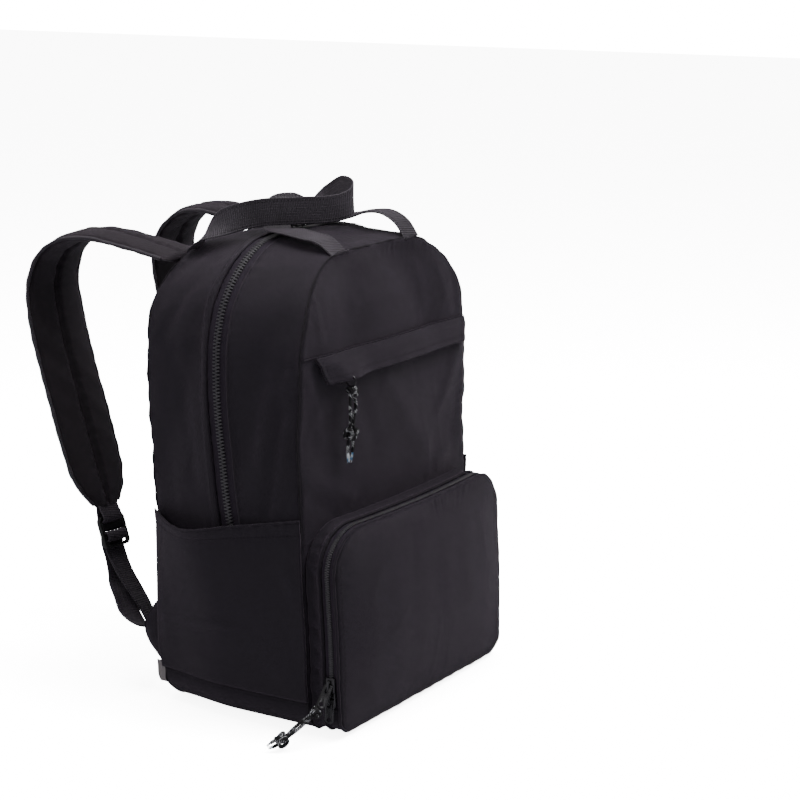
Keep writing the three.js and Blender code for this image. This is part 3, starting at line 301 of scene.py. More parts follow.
# The keeper's way round the first bar: on and out
KEEPER = [(-2.6, 1.3), (4.4, 2.72), (8.25, 3.7), (13.2, 3.6), (14.6, 1.7)]

# Each cord: its two strands, the ways of its hitch and its end, and the end's length
CORDS = [
    {
        "name": "flap_cord",
        "strands": [
            [(-83.9, -100.6, 300.1), (-86.4, -101.6, 291), (-85.0, -100.8, 281), (-84.2, -100.0, 270.4)],
            [(-79.6, -100.6, 300.1), (-78.4, -102.2, 290), (-80.6, -101.4, 280), (-79.8, -100.0, 270.4)],
        ],
        "hitch_way": (0, 0.02, -1),
        "end_way": (-0.03, 0.06, -1),
        "end_length": 38,
    },
    {
        "name": "pocket_cord",
        "strands": [
            [(-157.3, -108.5, 30.6), (-163.9, -104.2, 24.7), (-170.9, -98.8, 18.2), (-175.5, -92.8, 12.5)],
            [(-154.9, -105.7, 30.6), (-159.9, -99.6, 25.0), (-166.1, -93.5, 18.2), (-173.1, -90.0, 12.5)],
        ],
        "hitch_way": (-0.6, 0.52, -0.6),
        "end_way": (-0.66, 0.6, -0.41),
        "end_length": 26,
    },
]

# Camera and floor in metres, and the camera's turn in degrees
CAMERA_PLACE = (-1.6235, -1.1241, 0.7071)
CAMERA_TURN = (77.47, 0, -57.71)
CAMERA_LENS = 97.77
CAMERA_SENSOR = 36
CAMERA_REACH = 50
FLOOR_REACH = 9

# Each light with its place, width and power, and the height that they all point at
LIGHTS = [
    ("key", (0.4, -0.95, 1.95), 1.2, 22),
    ("side", (-2.6, 0.3, 1.6), 1.4, 9.5),
    ("top", (-0.1, 0.3, 2.6), 1.5, 26),
]
LIGHTS_AIM = 0.22

# Light of the studio, and how bright the camera sees the studio and the floor
STUDIO_LIGHT = 0.3
STUDIO_SEEN = 17
FLOOR_SEEN = 14
FLOOR_GLOW = 6.0


# Settings that a user would change


def length_setting(name, description, default, low, high):
    """A length in metres."""
    return bpy.props.FloatProperty(
        name=name, description=description, default=default, min=low, max=high, unit="LENGTH"
    )


def colour_setting(name, description, default):
    """A colour."""
    return bpy.props.FloatVectorProperty(
        name=name, description=description, default=default, size=3, min=0.0, max=1.0, subtype="COLOR"
    )


class BackpackSizes(bpy.types.PropertyGroup):
    crease_depth: bpy.props.FloatProperty(
        name="Crease depth",
        description="How deep the soft creases of the cloth are, as a share of their usual depth",
        default=1.35,
        min=0.0,
        max=2.0,
        subtype="FACTOR",
    )
    gather_depth: length_setting(
        "Gather depth", "Height of the small gathers beside the seams", 0.00045, 0.0, 0.003
    )
    cloth_step: length_setting(
        "Cloth step", "Distance between neighbouring points of the cloth panels", 0.0028, 0.0015, 0.01
    )
    stitch_length: length_setting(
        "Stitch length", "Length of one stitch with the space after it", 0.0034, 0.002, 0.01
    )
    main_tooth: length_setting(
        "Main zip tooth", "Distance between neighbouring teeth on one side of the zip", 0.0031, 0.002, 0.006
    )
    coil_turn: length_setting(
        "Coil turn", "Distance between neighbouring turns of the small zips' coils", 0.0021, 0.001, 0.004
    )
    rib_count: bpy.props.IntProperty(
        name="Webbing ribs",
        description="Number of ribs across the webbing",
        default=11,
        min=3,
        max=19,
    )


class BackpackColours(bpy.types.PropertyGroup):
    nylon: colour_setting("Nylon", "Colour of the cloth", (0.0142, 0.0101, 0.0170))
    strap: colour_setting("Straps", "Colour of the padded straps", (0.0150, 0.0110, 0.0148))
    webbing: colour_setting("Webbing", "Colour of the handles and strap webbing", (0.0390, 0.0325, 0.0415))
    teeth: colour_setting("Zip teeth", "Colour of the zips' teeth and coils", (0.050, 0.047, 0.053))
    metal: colour_setting("Metal", "Colour of the sliders, pulls and ring", (0.062, 0.060, 0.064))
    label: colour_setting("Tab", "Colour of the blank tab", (0.36, 0.33, 0.34))


def sizes():
    return bpy.context.scene.backpack_sizes


def colours():
    return bpy.context.scene.backpack_colours


def step():
    """Distance between cloth points in millimetres."""
    return sizes().cloth_step * 1000


# The slack body


def unit(vectors):
    """Each vector divided by its own length."""
    return vectors / np.maximum(np.linalg.norm(vectors, axis=-1, keepdims=True), 1e-9)


def smooth(value):
    """3t^2 - 2t^3 of a value held between 0 and 1."""
    t = np.clip(value, 0, 1)
    return t * t * (3 - 2 * t)


def travelled(path):
    """Length along a path from its start to each of its points."""
    return np.concatenate([[0], np.cumsum(np.linalg.norm(np.diff(path, axis=0), axis=-1))])


def read_at(at, length, values):
    """Points or ways at some lengths along a path, read between its own."""
    return np.stack([np.interp(at, length, values[:, k]) for k in range(3)], axis=-1)


def same_way(way, path):
    """One way for every point of a path."""
    return np.tile(np.array(way, float), (len(path), 1))


def points_of(x, y, z):
    """Points from three parts that may be single numbers, rows or columns."""
    return np.stack(np.broadcast_arrays(x, y, z), axis=-1)


def slack(column, share):
    """A column of the slack table at shares of the height, eased between its rows."""
    heights = SLACK["height"]
    row = np.clip(np.searchsorted(heights, share) - 1, 0, len(heights) - 2)
    t = smooth((share - heights[row]) / (heights[row + 1] - heights[row]))
    values = SLACK[column]
    return values[row] + (values[row + 1] - values[row]) * t


def from_line(points, start, end):
    """Distance of each point from the line between two points."""
    a = np.asarray(start, float)
    way = np.asarray(end, float) - a
    t = np.clip(((points - a) @ way) / (way @ way), 0, 1)
    return np.linalg.norm(points - a - t[..., None] * way, axis=-1)


def settle(points):
    """Square-cut body to slack body: x and y times the eased slack table, plus bulges that fall off
    with the square of the other direction, z plus a crown, then each fold's bell of push."""
    p = np.asarray(points, float)
    share = np.clip(p[..., 2] / BODY_HEIGHT, 0, 1)
    across = p[..., 0] / HALF_WIDTH
    deep = p[..., 1] / HALF_DEPTH
    rise = np.sin(np.pi * share)
    round_x = np.maximum(0, 1 - across * across)
    round_y = np.maximum(0, 1 - deep * deep)
    width = slack("width", share)
    width = width + (slack("back", share) - width) * smooth(deep)
    front = slack("front", share)
    depth = front + (slack("rear", share) - front) * smooth((deep + 1) / 2)
    out = p.copy()
    out[..., 0] *= width + SIDE_BULGE / HALF_WIDTH * round_y * rise
    out[..., 1] *= depth + FACE_BULGE / HALF_DEPTH * round_x * rise
    out[..., 2] += CROWN_RISE * share**6 * round_x * (0.3 + 0.7 * round_y)
    size = np.array([HALF_WIDTH, HALF_DEPTH, BODY_HEIGHT])
    for face, start, end, reach, push in FOLDS:
        away = from_line(p, start * size, end * size) / (reach * BODY_DEPTH)
        moved = push * BODY_DEPTH * np.exp(-away * away)
        if face == "front":
            out[..., 1] -= moved
        elif face == "side":
            out[..., 0] += np.sign(start[0]) * moved
        else:
            out[..., 2] += moved
    return out


def placed(path, y, shift, inset):
    """Outline points at a depth y, settled, shifted along Y and pushed in along their normals."""
    x, z, nx, nz = (path[..., k] for k in range(4))
    x, y, z, nx, nz, shift, inset = np.broadcast_arrays(x, y, z, nx, nz, shift, inset)
    out = settle(np.stack([x, y, z], axis=-1))
    out[..., 0] -= nx * inset
    out[..., 1] += shift
    out[..., 2] -= nz * inset
    return out


def on_front(x, z, off):
    """Points that stand off the front of the settled body."""
    x, z, off = np.broadcast_arrays(x, z, off)
    out = settle(np.stack([x, np.full(x.shape, -HALF_DEPTH), z], axis=-1))
    out[..., 1] -= off
    return out


def on_side(side, y, z, off):
    """Points that stand off one side of the settled body."""
    y, z, off = np.broadcast_arrays(y, z, off)
    out = settle(np.stack([np.full(y.shape, side * HALF_WIDTH), y, z], axis=-1))
    out[..., 0] += side * off
    return out


def on_back(x, z):
    """Points on the back panel, clear of it by the lay gap."""
    x, z = (np.array(v, float) for v in np.broadcast_arrays(x, z))
    full = np.full(x.shape, float(HALF_DEPTH))
    first = settle(np.stack([x, full, z], axis=-1))
    second = settle(np.stack([x, full, 2 * z - first[..., 2]], axis=-1))
    return np.stack([x, second[..., 1] + LAY_GAP, z], axis=-1)


def on_top(points):
    """Points moved down onto the bands over the top, clear of them by the lay gap."""
    x, y = points[..., 0], points[..., 1]
    beyond = np.maximum(0, np.abs(x) - (HALF_WIDTH - TOP_RADIUS))
    z = BODY_HEIGHT - (TOP_RADIUS - np.sqrt(TOP_RADIUS**2 - beyond**2))
    guess = np.stack([x, y, z], axis=-1)
    guess[..., :2] += points[..., :2] - settle(guess)[..., :2]
    return np.stack([x, y, settle(guess)[..., 2] + LAY_GAP], axis=-1)


def zip_line(z):
    """Depth of the main zip's middle: it bends forward towards its lower ends."""
    share = np.clip((z - ZIP_END) / (BODY_HEIGHT - ZIP_END), 0, 1)
    return ZIP_TOP_Y - ZIP_SWEEP * (1 - share) ** 2.2


def waves(points, length, seed):
    """Sum of three slow sine waves of about one length, from -1 to 1, the same on every run."""
    rng = np.random.default_rng(seed)
    ways = unit(rng.normal(size=(3, 3))) * (2 * np.pi / length) * rng.uniform(0.8, 1.25, (3, 1))
    return np.sin(points @ ways.T + rng.uniform(0, 6.28, 3)).mean(axis=-1)


def ridges(points, length, seed):
    """Crease lines: one less the size of a wavy sine, to the third power, so they are narrow, and
    faded in and out by a slower wave."""
    bent = waves(points, length * 2.1, seed + 1)
    line = 1 - np.abs(np.sin(np.pi * points @ unit(np.array([0.8, 0.5, 0.35])) / length + 2.6 * bent))
    return line**3 * smooth(waves(points, length * 1.6, seed + 2) * 1.6 + 0.35)


def crumpled(grid, depth, seed, share):
    """Moves a grid of settled points along its normals by slow waves, ridges and listed creases,
    each point by its share."""
    amount = 0.9 * waves(grid, 95, seed) + 0.22 * waves(grid, 34, seed + 5)
    amount = amount + 0.32 * ridges(grid, 58, seed + 11) - 0.26 * ridges(grid[..., ::-1], 49, seed + 17)
    for start, end, reach, push in CREASES:
        away = from_line(grid, start, end) / reach
        amount = amount + push * np.exp(-away * away)
    moved = grid + normals(grid) * (amount * depth * sizes().crease_depth)[..., None]
    return grid + (moved - grid) * share[..., None]


def gathered(distance, along, pitch, fade, seed=1):
    """Small gathers beside a seam: two uneven sines along it, in patches, that fade with distance
    from the seam, further in some places than in others."""
    phase = 2 * np.pi * along / pitch
    wave = np.sin(phase + 2.3 * np.sin(along / 23 + seed))
    wave = wave + 0.7 * np.sin(0.61 * phase + 1.9 * np.sin(along / 13 + 2 * seed))
    patch = smooth(0.55 * np.sin(along / 29 + 3 * seed) + 0.45 * np.sin(along / 11.5 + seed) + 0.2)
    reach = fade * (1 + 0.55 * np.sin(along / 8.3 + seed))
    return sizes().gather_depth * 1000 * wave * patch * np.exp(-np.abs(distance) / reach)


# Outlines with round corners


def arc(centre, radius, start, end, spacing):
    """Points and outward normals on an arc, angles in degrees."""
    count = max(4, int(abs(math.radians(end - start)) * radius / spacing))
    angle = np.radians(np.linspace(start, end, count + 1))
    way = np.stack([np.cos(angle), np.sin(angle)], axis=-1)
    return np.concatenate([np.array(centre) + radius * way, way], axis=-1)


def line(start, end, way, spacing):
    """Points on a straight line, all with one outward normal."""
    length = math.dist(start, end)
    t = np.linspace(0, 1, max(2, int(length / spacing)) + 1)[:, None]
    points = np.array(start) * (1 - t) + np.array(end) * t
    return np.concatenate([points, np.broadcast_to(way, points.shape)], axis=-1)


def chained(parts):
    """Parts of an outline, end to end, without their shared points."""
    return np.concatenate([parts[0], *[part[1:] for part in parts[1:]]])


def mirrored(path):
    """The path on the other side, run the other way."""
    return path[::-1] * np.array([-1, 1, -1, 1])


BODY_SHAPE = (HALF_WIDTH, 0, BODY_HEIGHT, FOOT_RADIUS, TOP_RADIUS)
POCKET_SHAPE = (POCKET_WIDTH / 2, POCKET_FOOT, POCKET_HEIGHT, POCKET_FOOT_RADIUS, POCKET_TOP_RADIUS)


def over_top(shape, height, spacing):
    """Outline from the left side at a height, over the top and down the right side."""
    half, foot, tall, _, radius = shape
    top = foot + tall
    left = chained([
        line((-half, height), (-half, top - radius), (-1, 0), spacing),
        arc((-half + radius, top - radius), radius, 180, 90, spacing),
    ])
    flat = line((-half + radius, top), (half - radius, top), (0, 1), spacing)
    return chained([left, flat, mirrored(left)])


def under_foot(shape, height, spacing):
    """Outline from the left side at a height, under the foot and up the right side."""
    half, foot, _, radius, _ = shape
    left = chained([
        line((-half, height), (-half, foot + radius), (-1, 0), spacing),
        arc((-half + radius, foot + radius), radius, 180, 270, spacing),
    ])
    flat = line((-half + radius, foot), (half - radius, foot), (0, -1), spacing)
    return chained([left, flat, mirrored(left)])


def all_round(shape, spacing):
    """The whole outline once, from the left side over the top and back under the foot."""
    middle = shape[1] + shape[2] / 2
    upper = over_top(shape, middle, spacing)
    lower = under_foot(shape, middle, spacing)[::-1]
    return chained([upper, lower])[:-1]


def levels(shape, spacing):
    """Rows of an outline from foot to top: height and half width."""
    half, foot, tall, low, high = shape
    right = chained([
        arc((half - low, foot + low), low, -90, 0, spacing),
        line((half, foot + low), (half, foot + tall - high), (1, 0), spacing),
        arc((half - high, foot + tall - high), high, 0, 90, spacing),
    ])
    return right[:, 1], right[:, 0]


def inside_by(shape, x, z):
    """How far points lie inside the outline, right near its edge."""
    half, foot, tall, low, high = shape
    x = np.abs(x)
    top = high - np.hypot(np.maximum(x - half + high, 0), z - (foot + tall - high))
    bottom = low - np.hypot(np.maximum(x - half + low, 0), foot + low - z)
    side = half - x
    return np.where(z > foot + tall - high, np.minimum(top, side), np.where(z < foot + low, bottom, side))


# Shapes: points, faces and their places on the cloth


def normals(grid, ring=False):
    """Unit normals of a grid, square to its two neighbouring differences."""
    down = np.gradient(grid, axis=0)
    if ring:
        side = (np.roll(grid, -1, axis=1) - np.roll(grid, 1, axis=1)) / 2
    else:
        side = np.gradient(grid, axis=1)
    return unit(np.cross(side, down))


def run_lengths(grid, axis):
    """Length along one direction of a grid, from its first line, taken at the grid's middle."""
    middle = grid[:, grid.shape[1] // 2] if axis == 0 else grid[grid.shape[0] // 2]
    return travelled(middle)


def quads_of(rows, columns, ring=False, loop=False):
    """Corner numbers of a grid's quads, and the corners' row and column before any wrap."""
    i, j = np.meshgrid(
        np.arange(rows if loop else rows - 1), np.arange(columns if ring else columns - 1), indexing="ij"
    )
    i, j = i.ravel(), j.ravel()
    rows_at = np.stack([i, i, i + 1, i + 1], axis=1)
    columns_at = np.stack([j, j + 1, j + 1, j], axis=1)
    return (rows_at % rows) * columns + columns_at % columns, rows_at, columns_at


def sheet_uv(grid, rows_at, columns_at):
    """Metres along the rows and columns of a grid for each corner."""
    down = run_lengths(grid, 0)
    side = run_lengths(grid, 1)
    down = np.append(down, down[-1] + (down[-1] - down[-2]))
    side = np.append(side, side[-1] + (side[-1] - side[-2]))
    return np.stack([side[columns_at], down[rows_at]], axis=-1) / 1000


def wall(outer, inner, ring=False):
    """A closed wall: an outer and an inner grid, with strips that join their edges."""
    rows, columns = outer.shape[:2]
    half = rows * columns
    faces, rows_at, columns_at = quads_of(rows, columns, ring)
    uv = sheet_uv(outer, rows_at, columns_at)
    number = np.arange(half).reshape(rows, columns)
    if ring:
        edges = [np.append(edge, edge[0]) for edge in (number[0], number[-1][::-1])]
    else:
        edges = [np.concatenate([number[0], number[1:, -1], number[-1, -2::-1], number[-2::-1, 0]])]
    strips = [np.stack([edge[1:], edge[:-1], edge[:-1] + half, edge[1:] + half], axis=1) for edge in edges]
    flat_uv = np.zeros((half, 2))
    flat_uv[faces.ravel()] = uv.reshape(-1, 2)
    strip = np.concatenate(strips)
    strip_uv = flat_uv[strip % half]
    points = np.concatenate([outer.reshape(-1, 3), inner.reshape(-1, 3)])
    quads = np.concatenate([faces, faces[:, ::-1] + half, strip])
    return {"points": points, "faces": quads, "uv": np.concatenate([uv, uv[:, ::-1], strip_uv])}


def cloth(outer, thickness, ring=False, flip=False):
    """A wall whose inner side is a thickness further in along the outer side's normals."""
    inwards = normals(outer, ring) * (-1 if flip else 1)
    return wall(outer, outer + inwards * thickness, ring)


def tube(grid, ends=True, loop=False):
    """A grid that closes round each ring, with its ends drawn together to a point or looped."""
    rows, columns = grid.shape[:2]
    if ends and not loop:
        first = np.broadcast_to(grid[:1].mean(axis=1, keepdims=True), (1, columns, 3))
        last = np.broadcast_to(grid[-1:].mean(axis=1, keepdims=True), (1, columns, 3))
        grid = np.concatenate([first, grid, last])
        rows += 2
    faces, rows_at, columns_at = quads_of(rows, columns, True, loop)
    return {"points": grid.reshape(-1, 3), "faces": faces, "uv": sheet_uv(grid, rows_at, columns_at)}


def together(shapes):
    """Several shapes as one."""
    counts = np.cumsum([0] + [len(shape["points"]) for shape in shapes])
    return {
        "points": np.concatenate([shape["points"] for shape in shapes]),
        "faces": np.concatenate([shape["faces"] + n for shape, n in zip(shapes, counts)]),
        "uv": np.concatenate([shape["uv"] for shape in shapes]),
    }


def repeated(shape, origins, along, side, out):
    """One small shape at many places, its x, y and z turned to each place's three ways."""
    points = shape["points"]
    basis = np.stack([along, side, out], axis=1)
    moved = origins[:, None] + np.einsum("pk,nkc->npc", points, basis)
    count = len(origins)
    faces = shape["faces"][None] + (np.arange(count) * len(points))[:, None, None]
    return {
        "points": moved.reshape(-1, 3),
        "faces": faces.reshape(-1, 4),
        "uv": np.tile(shape["uv"], (count, 1, 1)),
    }


def volume_of(points, faces):
    """Signed volume of a closed shape, as a sum over its triangles."""
    a, b, c, d = (points[faces[:, k]] for k in range(4))
    first = np.einsum("ij,ij->i", a, np.cross(b, c))
    second = np.einsum("ij,ij->i", a, np.cross(c, d))
    return (first + second).sum() / 6


def add_piece(name, shape, material, body="bag", replaces=()):
    """Puts a shape in a new object, facing outwards, and lets it ride on its body."""
    points, faces, uv = shape["points"], shape["faces"], shape["uv"]
    if volume_of(points, faces) < 0:
        faces, uv = faces[:, ::-1], uv[:, ::-1]
    mesh = bpy.data.meshes.new(name)
    mesh.from_pydata((points / 1000).tolist(), [], faces.tolist())
    layer = mesh.uv_layers.new(name="UVMap")
    layer.data.foreach_set("uv", uv.astype(np.float32).ravel())
    mesh.validate()
    clean_poles(mesh)
    mesh.shade_smooth()
    mesh.materials.append(material)
    piece = bpy.data.objects.new(name, mesh)
    bpy.context.scene.collection.objects.link(piece)
    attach(piece, body)
    if replaces:
        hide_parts(*replaces)
    return piece


def clean_poles(mesh):
    """Merges the points that meet at poles, and drops faces that have no area."""
    work = bmesh.new()
    work.from_mesh(mesh)
    bmesh.ops.remove_doubles(work, verts=work.verts, dist=1e-6)
    bmesh.ops.dissolve_degenerate(work, edges=work.edges, dist=1e-7)
    work.to_mesh(mesh)
    work.free()


# Curves and swept sections


def centripetal(points, t):
    """Points on a centripetal Catmull-Rom curve through the rows, t from 0 to 1 over all rows."""
    p = np.asarray(points, float)
    p = np.concatenate([[2 * p[0] - p[1]], p, [2 * p[-1] - p[-2]]])
    last = len(p) - 3
    row = np.minimum((np.clip(t, 0, 1) * last).astype(int), last - 1)
    w = (np.clip(t, 0, 1) * last - row)[:, None]
    x0, x1, x2, x3 = (p[row + k] for k in range(4))
    d0, d1, d2 = (
        np.maximum(np.linalg.norm(b - a, axis=-1, keepdims=True), 1e-8) ** 0.5
        for a, b in ((x0, x1), (x1, x2), (x2, x3))
    )
    t1 = ((x1 - x0) / d0 - (x2 - x0) / (d0 + d1) + (x2 - x1) / d1) * d1
    t2 = ((x2 - x1) / d1 - (x3 - x1) / (d1 + d2) + (x3 - x2) / d2) * d1
    return x1 + t1 * w + (3 * (x2 - x1) - 2 * t1 - t2) * w**2 + (2 * (x1 - x2) + t1 + t2) * w**3


def stations(middles, across, count, widths=None, thicknesses=None):
    """Places along a smooth curve: its middle, and unit ways along, across and out, with the width
    direction mixed between the rows and made square to the curve."""
    t = np.linspace(0, 1, count + 1)
    last = len(middles) - 1
    row = np.minimum((t * last).astype(int), last - 1)
    share = (t * last - row)[:, None]
    across = unit(np.asarray(across, float))
    after, before = np.minimum(t + 1e-4, 1), np.maximum(t - 1e-4, 0)
    along = unit(centripetal(middles, after) - centripetal(middles, before))
    side = across[row] * (1 - share) + across[row + 1] * share
    side = unit(side - (side * along).sum(-1, keepdims=True) * along)
    made = {"t": t, "middle": centripetal(middles, t), "along": along, "across": side}
    made["out"] = unit(np.cross(side, along))
    for name, values in (("width", widths), ("thickness", thicknesses)):
        if values is not None:
            made[name] = np.interp(t * last, np.arange(last + 1), values)
    return made


def evenly(made):
    """The same stations with their places spaced evenly along the curve."""
    length = travelled(made["middle"])
    at = np.linspace(0, length[-1], len(length))
    mixed = {}
    for name, values in made.items():
        if values.ndim == 1:
            mixed[name] = np.interp(at, length, values)
        else:
            mixed[name] = read_at(at, length, values)
    for name in ("along", "across", "out"):
        mixed[name] = unit(mixed[name])
    mixed["length"] = at
    return mixed


def carried(made, across, out):
    """A section of across and out offsets carried along stations, one ring for each."""
    sideways = made["middle"][:, None] + across[..., None] * made["across"][:, None]
    return sideways + out[..., None] * made["out"][:, None]


def frames_along(path, up):
    """Unit ways along a path, to its side and out, from its points and rough ways out."""
    along = unit(np.gradient(path, axis=0))
    out = unit(up - (up * along).sum(-1, keepdims=True) * along)
    return along, unit(np.cross(out, along)), out


def round_tube(path, radius, sides=10, loop=False):
    """A round tube along a path, its rings carried without twist; radius may change on the way."""
    count = len(path)
    if loop:
        along = unit(np.roll(path, -1, axis=0) - np.roll(path, 1, axis=0))
    else:
        along = unit(np.gradient(path, axis=0))
    rough = np.array([0.31, 0.17, 0.94])
    side = np.zeros_like(along)
    side[0] = unit(np.cross(along[0], rough))
    for i in range(1, count):
        turned = side[i - 1] - (side[i - 1] @ along[i]) * along[i]
        side[i] = turned / np.linalg.norm(turned)
    if loop:
        closing = side[-1] - (side[-1] @ along[0]) * along[0]
        up = np.cross(along[0], side[0])
        twist = -math.atan2(closing @ up, closing @ side[0])
        angle = twist * np.arange(count) / count
        up_all = np.cross(along, side)
        side = np.cos(angle)[:, None] * side + np.sin(angle)[:, None] * up_all
    up = np.cross(along, side)
    angle = np.linspace(0, 2 * np.pi, sides, endpoint=False)
    ring = np.cos(angle)[None, :, None] * side[:, None] + np.sin(angle)[None, :, None] * up[:, None]
    return path[:, None] + ring * np.broadcast_to(radius, (count,))[:, None, None]


# Materials


def node(tree, kind, **values):
    """A new shader node with its settings, and its inputs by name with a leading in_."""
    made = tree.nodes.new(kind)
    for name, value in values.items():
        if name.startswith("in_"):
            made.inputs[name[3:].replace("_", " ")].default_value = value
        else:
            setattr(made, name, value)
    return made


def start_material(name, colour, roughness, **shader):
    """A material with its shader and output; returns it with its tree and shader."""
    material = bpy.data.materials.new(name)
    material.use_nodes = True
    tree = material.node_tree
    tree.nodes.clear()
    bsdf = node(tree, "ShaderNodeBsdfPrincipled")
    bsdf.inputs["Base Color"].default_value = (*colour, 1)
    bsdf.inputs["Roughness"].default_value = roughness
    for key, value in shader.items():
        bsdf.inputs[key.replace("_", " ")].default_value = value
    output = node(tree, "ShaderNodeOutputMaterial")
    tree.links.new(bsdf.outputs["BSDF"], output.inputs["Surface"])
    return material, tree, bsdf


def math_of(tree, operation, first, second=None, third=None):
    """A math node on values or links; returns its result."""
    made = node(tree, "ShaderNodeMath", operation=operation)
    for place, value in enumerate((first, second, third)):
        if value is None:
            continue
        if isinstance(value, (int, float)):
            made.inputs[place].default_value = value
        else:
            tree.links.new(value, made.inputs[place])
    return made.outputs[0]


def noise(tree, vector, scale, detail=3.0, rough=0.55):
    made = node(tree, "ShaderNodeTexNoise", in_Scale=scale, in_Detail=detail, in_Roughness=rough)
    tree.links.new(vector, made.inputs["Vector"])
    return made.outputs["Fac"]


def mixed_colour(tree, share, first, second):
    """A colour between two, by a share from 0 to 1."""
    ramp = node(tree, "ShaderNodeValToRGB")
    ramp.color_ramp.elements[0].color = (*first, 1)
    ramp.color_ramp.elements[1].color = (*second, 1)
    tree.links.new(share, ramp.inputs["Fac"])
    return ramp.outputs["Color"]


def uv_parts(tree, place):
    """The two parts of a place on the UV map: across and along the cloth, in metres."""
    split = node(tree, "ShaderNodeSeparateXYZ")
    tree.links.new(place.outputs["UV"], split.inputs[0])
    return split.outputs[0], split.outputs[1]


def sine_of(tree, value, pitch):
    """A sine that comes back after each pitch."""
    return math_of(tree, "SINE", math_of(tree, "MULTIPLY", value, math.tau / pitch))


def woven(tree, place, pitch):
    """Height of a plain weave: threads over and under each other along both ways of the cloth."""
    across, along = uv_parts(tree, place)
    return math_of(tree, "MULTIPLY", sine_of(tree, across, pitch), sine_of(tree, along, pitch))


def shaded(colour, share):
    """A colour times a share."""
    return tuple(part * share for part in colour)


def bumped(tree, bsdf, height, distance, strength=1.0):
    bump = node(tree, "ShaderNodeBump", in_Strength=strength, in_Distance=distance)
    tree.links.new(height, bump.inputs["Height"])
    tree.links.new(bump.outputs["Normal"], bsdf.inputs["Normal"])


def fabric(name, colour, weave, roughness=0.62, sheen=0.14, tone=0.3, bump=0.00012):
    """Woven cloth: a plain weave on its own UV map, with a slow change of tone, fine fibre noise and
    a soft sheen."""
    material, tree, bsdf = start_material(name, colour, roughness, Sheen_Weight=sheen)
    bsdf.inputs["Sheen Roughness"].default_value = 0.45
    bsdf.inputs["Sheen Tint"].default_value = (0.98, 0.8, 1.0, 1)
    bsdf.inputs["Specular IOR Level"].default_value = 0.24
    place = node(tree, "ShaderNodeTexCoord")
    threads = woven(tree, place, weave)
    slow = noise(tree, place.outputs["Object"], 9.0, 4.0)
    fine = noise(tree, place.outputs["Object"], 900.0, 2.0)
    shade = math_of(tree, "MULTIPLY_ADD", threads, 0.12, slow)
    shade = math_of(tree, "MULTIPLY_ADD", fine, 0.35, shade)
    share = math_of(tree, "SUBTRACT", shade, 0.17)
    mixed = mixed_colour(tree, share, shaded(colour, 1 - tone), shaded(colour, 1 + tone))
    tree.links.new(mixed, bsdf.inputs["Base Color"])
    gloss = math_of(tree, "MULTIPLY_ADD", slow, 0.24, roughness - 0.12)
    tree.links.new(gloss, bsdf.inputs["Roughness"])
    height = math_of(tree, "MULTIPLY_ADD", fine, 0.6, threads)
    bumped(tree, bsdf, height, bump)
    return material


def webbing_material(name, colour):
    """Ribbed webbing: fine ribs across it, crossed by threads along it, with painted highlights on their
    crowns and painted shade between them.
    """
    material, tree, bsdf = start_material(name, colour, 0.48, Sheen_Weight=0.16)
    bsdf.inputs["Sheen Roughness"].default_value = 0.4
    bsdf.inputs["Sheen Tint"].default_value = (0.98, 0.84, 1.0, 1)
    bsdf.inputs["Specular IOR Level"].default_value = 0.36
    place = node(tree, "ShaderNodeTexCoord")
    across, along = uv_parts(tree, place)
    threads = sine_of(tree, math_of(tree, "MULTIPLY_ADD", across, 0.2, along), 0.0022)
    ribs = sine_of(tree, across, 0.0014)
    slow = noise(tree, place.outputs["Object"], 40.0, 3.0)
    weave = math_of(tree, "MULTIPLY_ADD", ribs, 0.3, threads)
    shade = math_of(tree, "MULTIPLY_ADD", weave, 0.24, slow)
    # Colour runs from painted shade in the grooves to painted highlight on the crowns of the ribs and
    # threads, over a slow random change of tone
    mixed = mixed_colour(tree, shade, shaded(colour, 0.55), shaded(colour, 1.7))
    tree.links.new(mixed, bsdf.inputs["Base Color"])
    bumped(tree, bsdf, weave, 0.0002)
    return material


def hard_material(name, colour, roughness, metallic, grain):
    """Metal or moulded plastic: fine grain in its gloss and height, with painted highlights on its edges and
    painted shade in its hollows.
    """
    material, tree, bsdf = start_material(name, colour, roughness, Metallic=metallic)
    place = node(tree, "ShaderNodeTexCoord")
    fine = noise(tree, place.outputs["Object"], grain, 4.0)
    slow = noise(tree, place.outputs["Object"], grain / 9, 3.0)
    edge = node(tree, "ShaderNodeNewGeometry")
    # Painted light from pointiness: edges are painted lighter as highlights and hollows darker as shade
    edge_highlight_hollow_shade = math_of(tree, "MULTIPLY", math_of(tree, "SUBTRACT", edge.outputs["Pointiness"], 0.5), 3.0)
    share = math_of(tree, "ADD", math_of(tree, "MULTIPLY", slow, 0.8), edge_highlight_hollow_shade)
    # Colour runs from painted shade in hollows to painted highlight on edges, with a slow random change of
    # tone
    mixed = mixed_colour(tree, share, shaded(colour, 0.7), shaded(colour, 1.6))
    tree.links.new(mixed, bsdf.inputs["Base Color"])
    gloss = math_of(tree, "MULTIPLY_ADD", fine, 0.22, roughness - 0.1)
    tree.links.new(gloss, bsdf.inputs["Roughness"])
    bumped(tree, bsdf, fine, 0.00003)
    return material


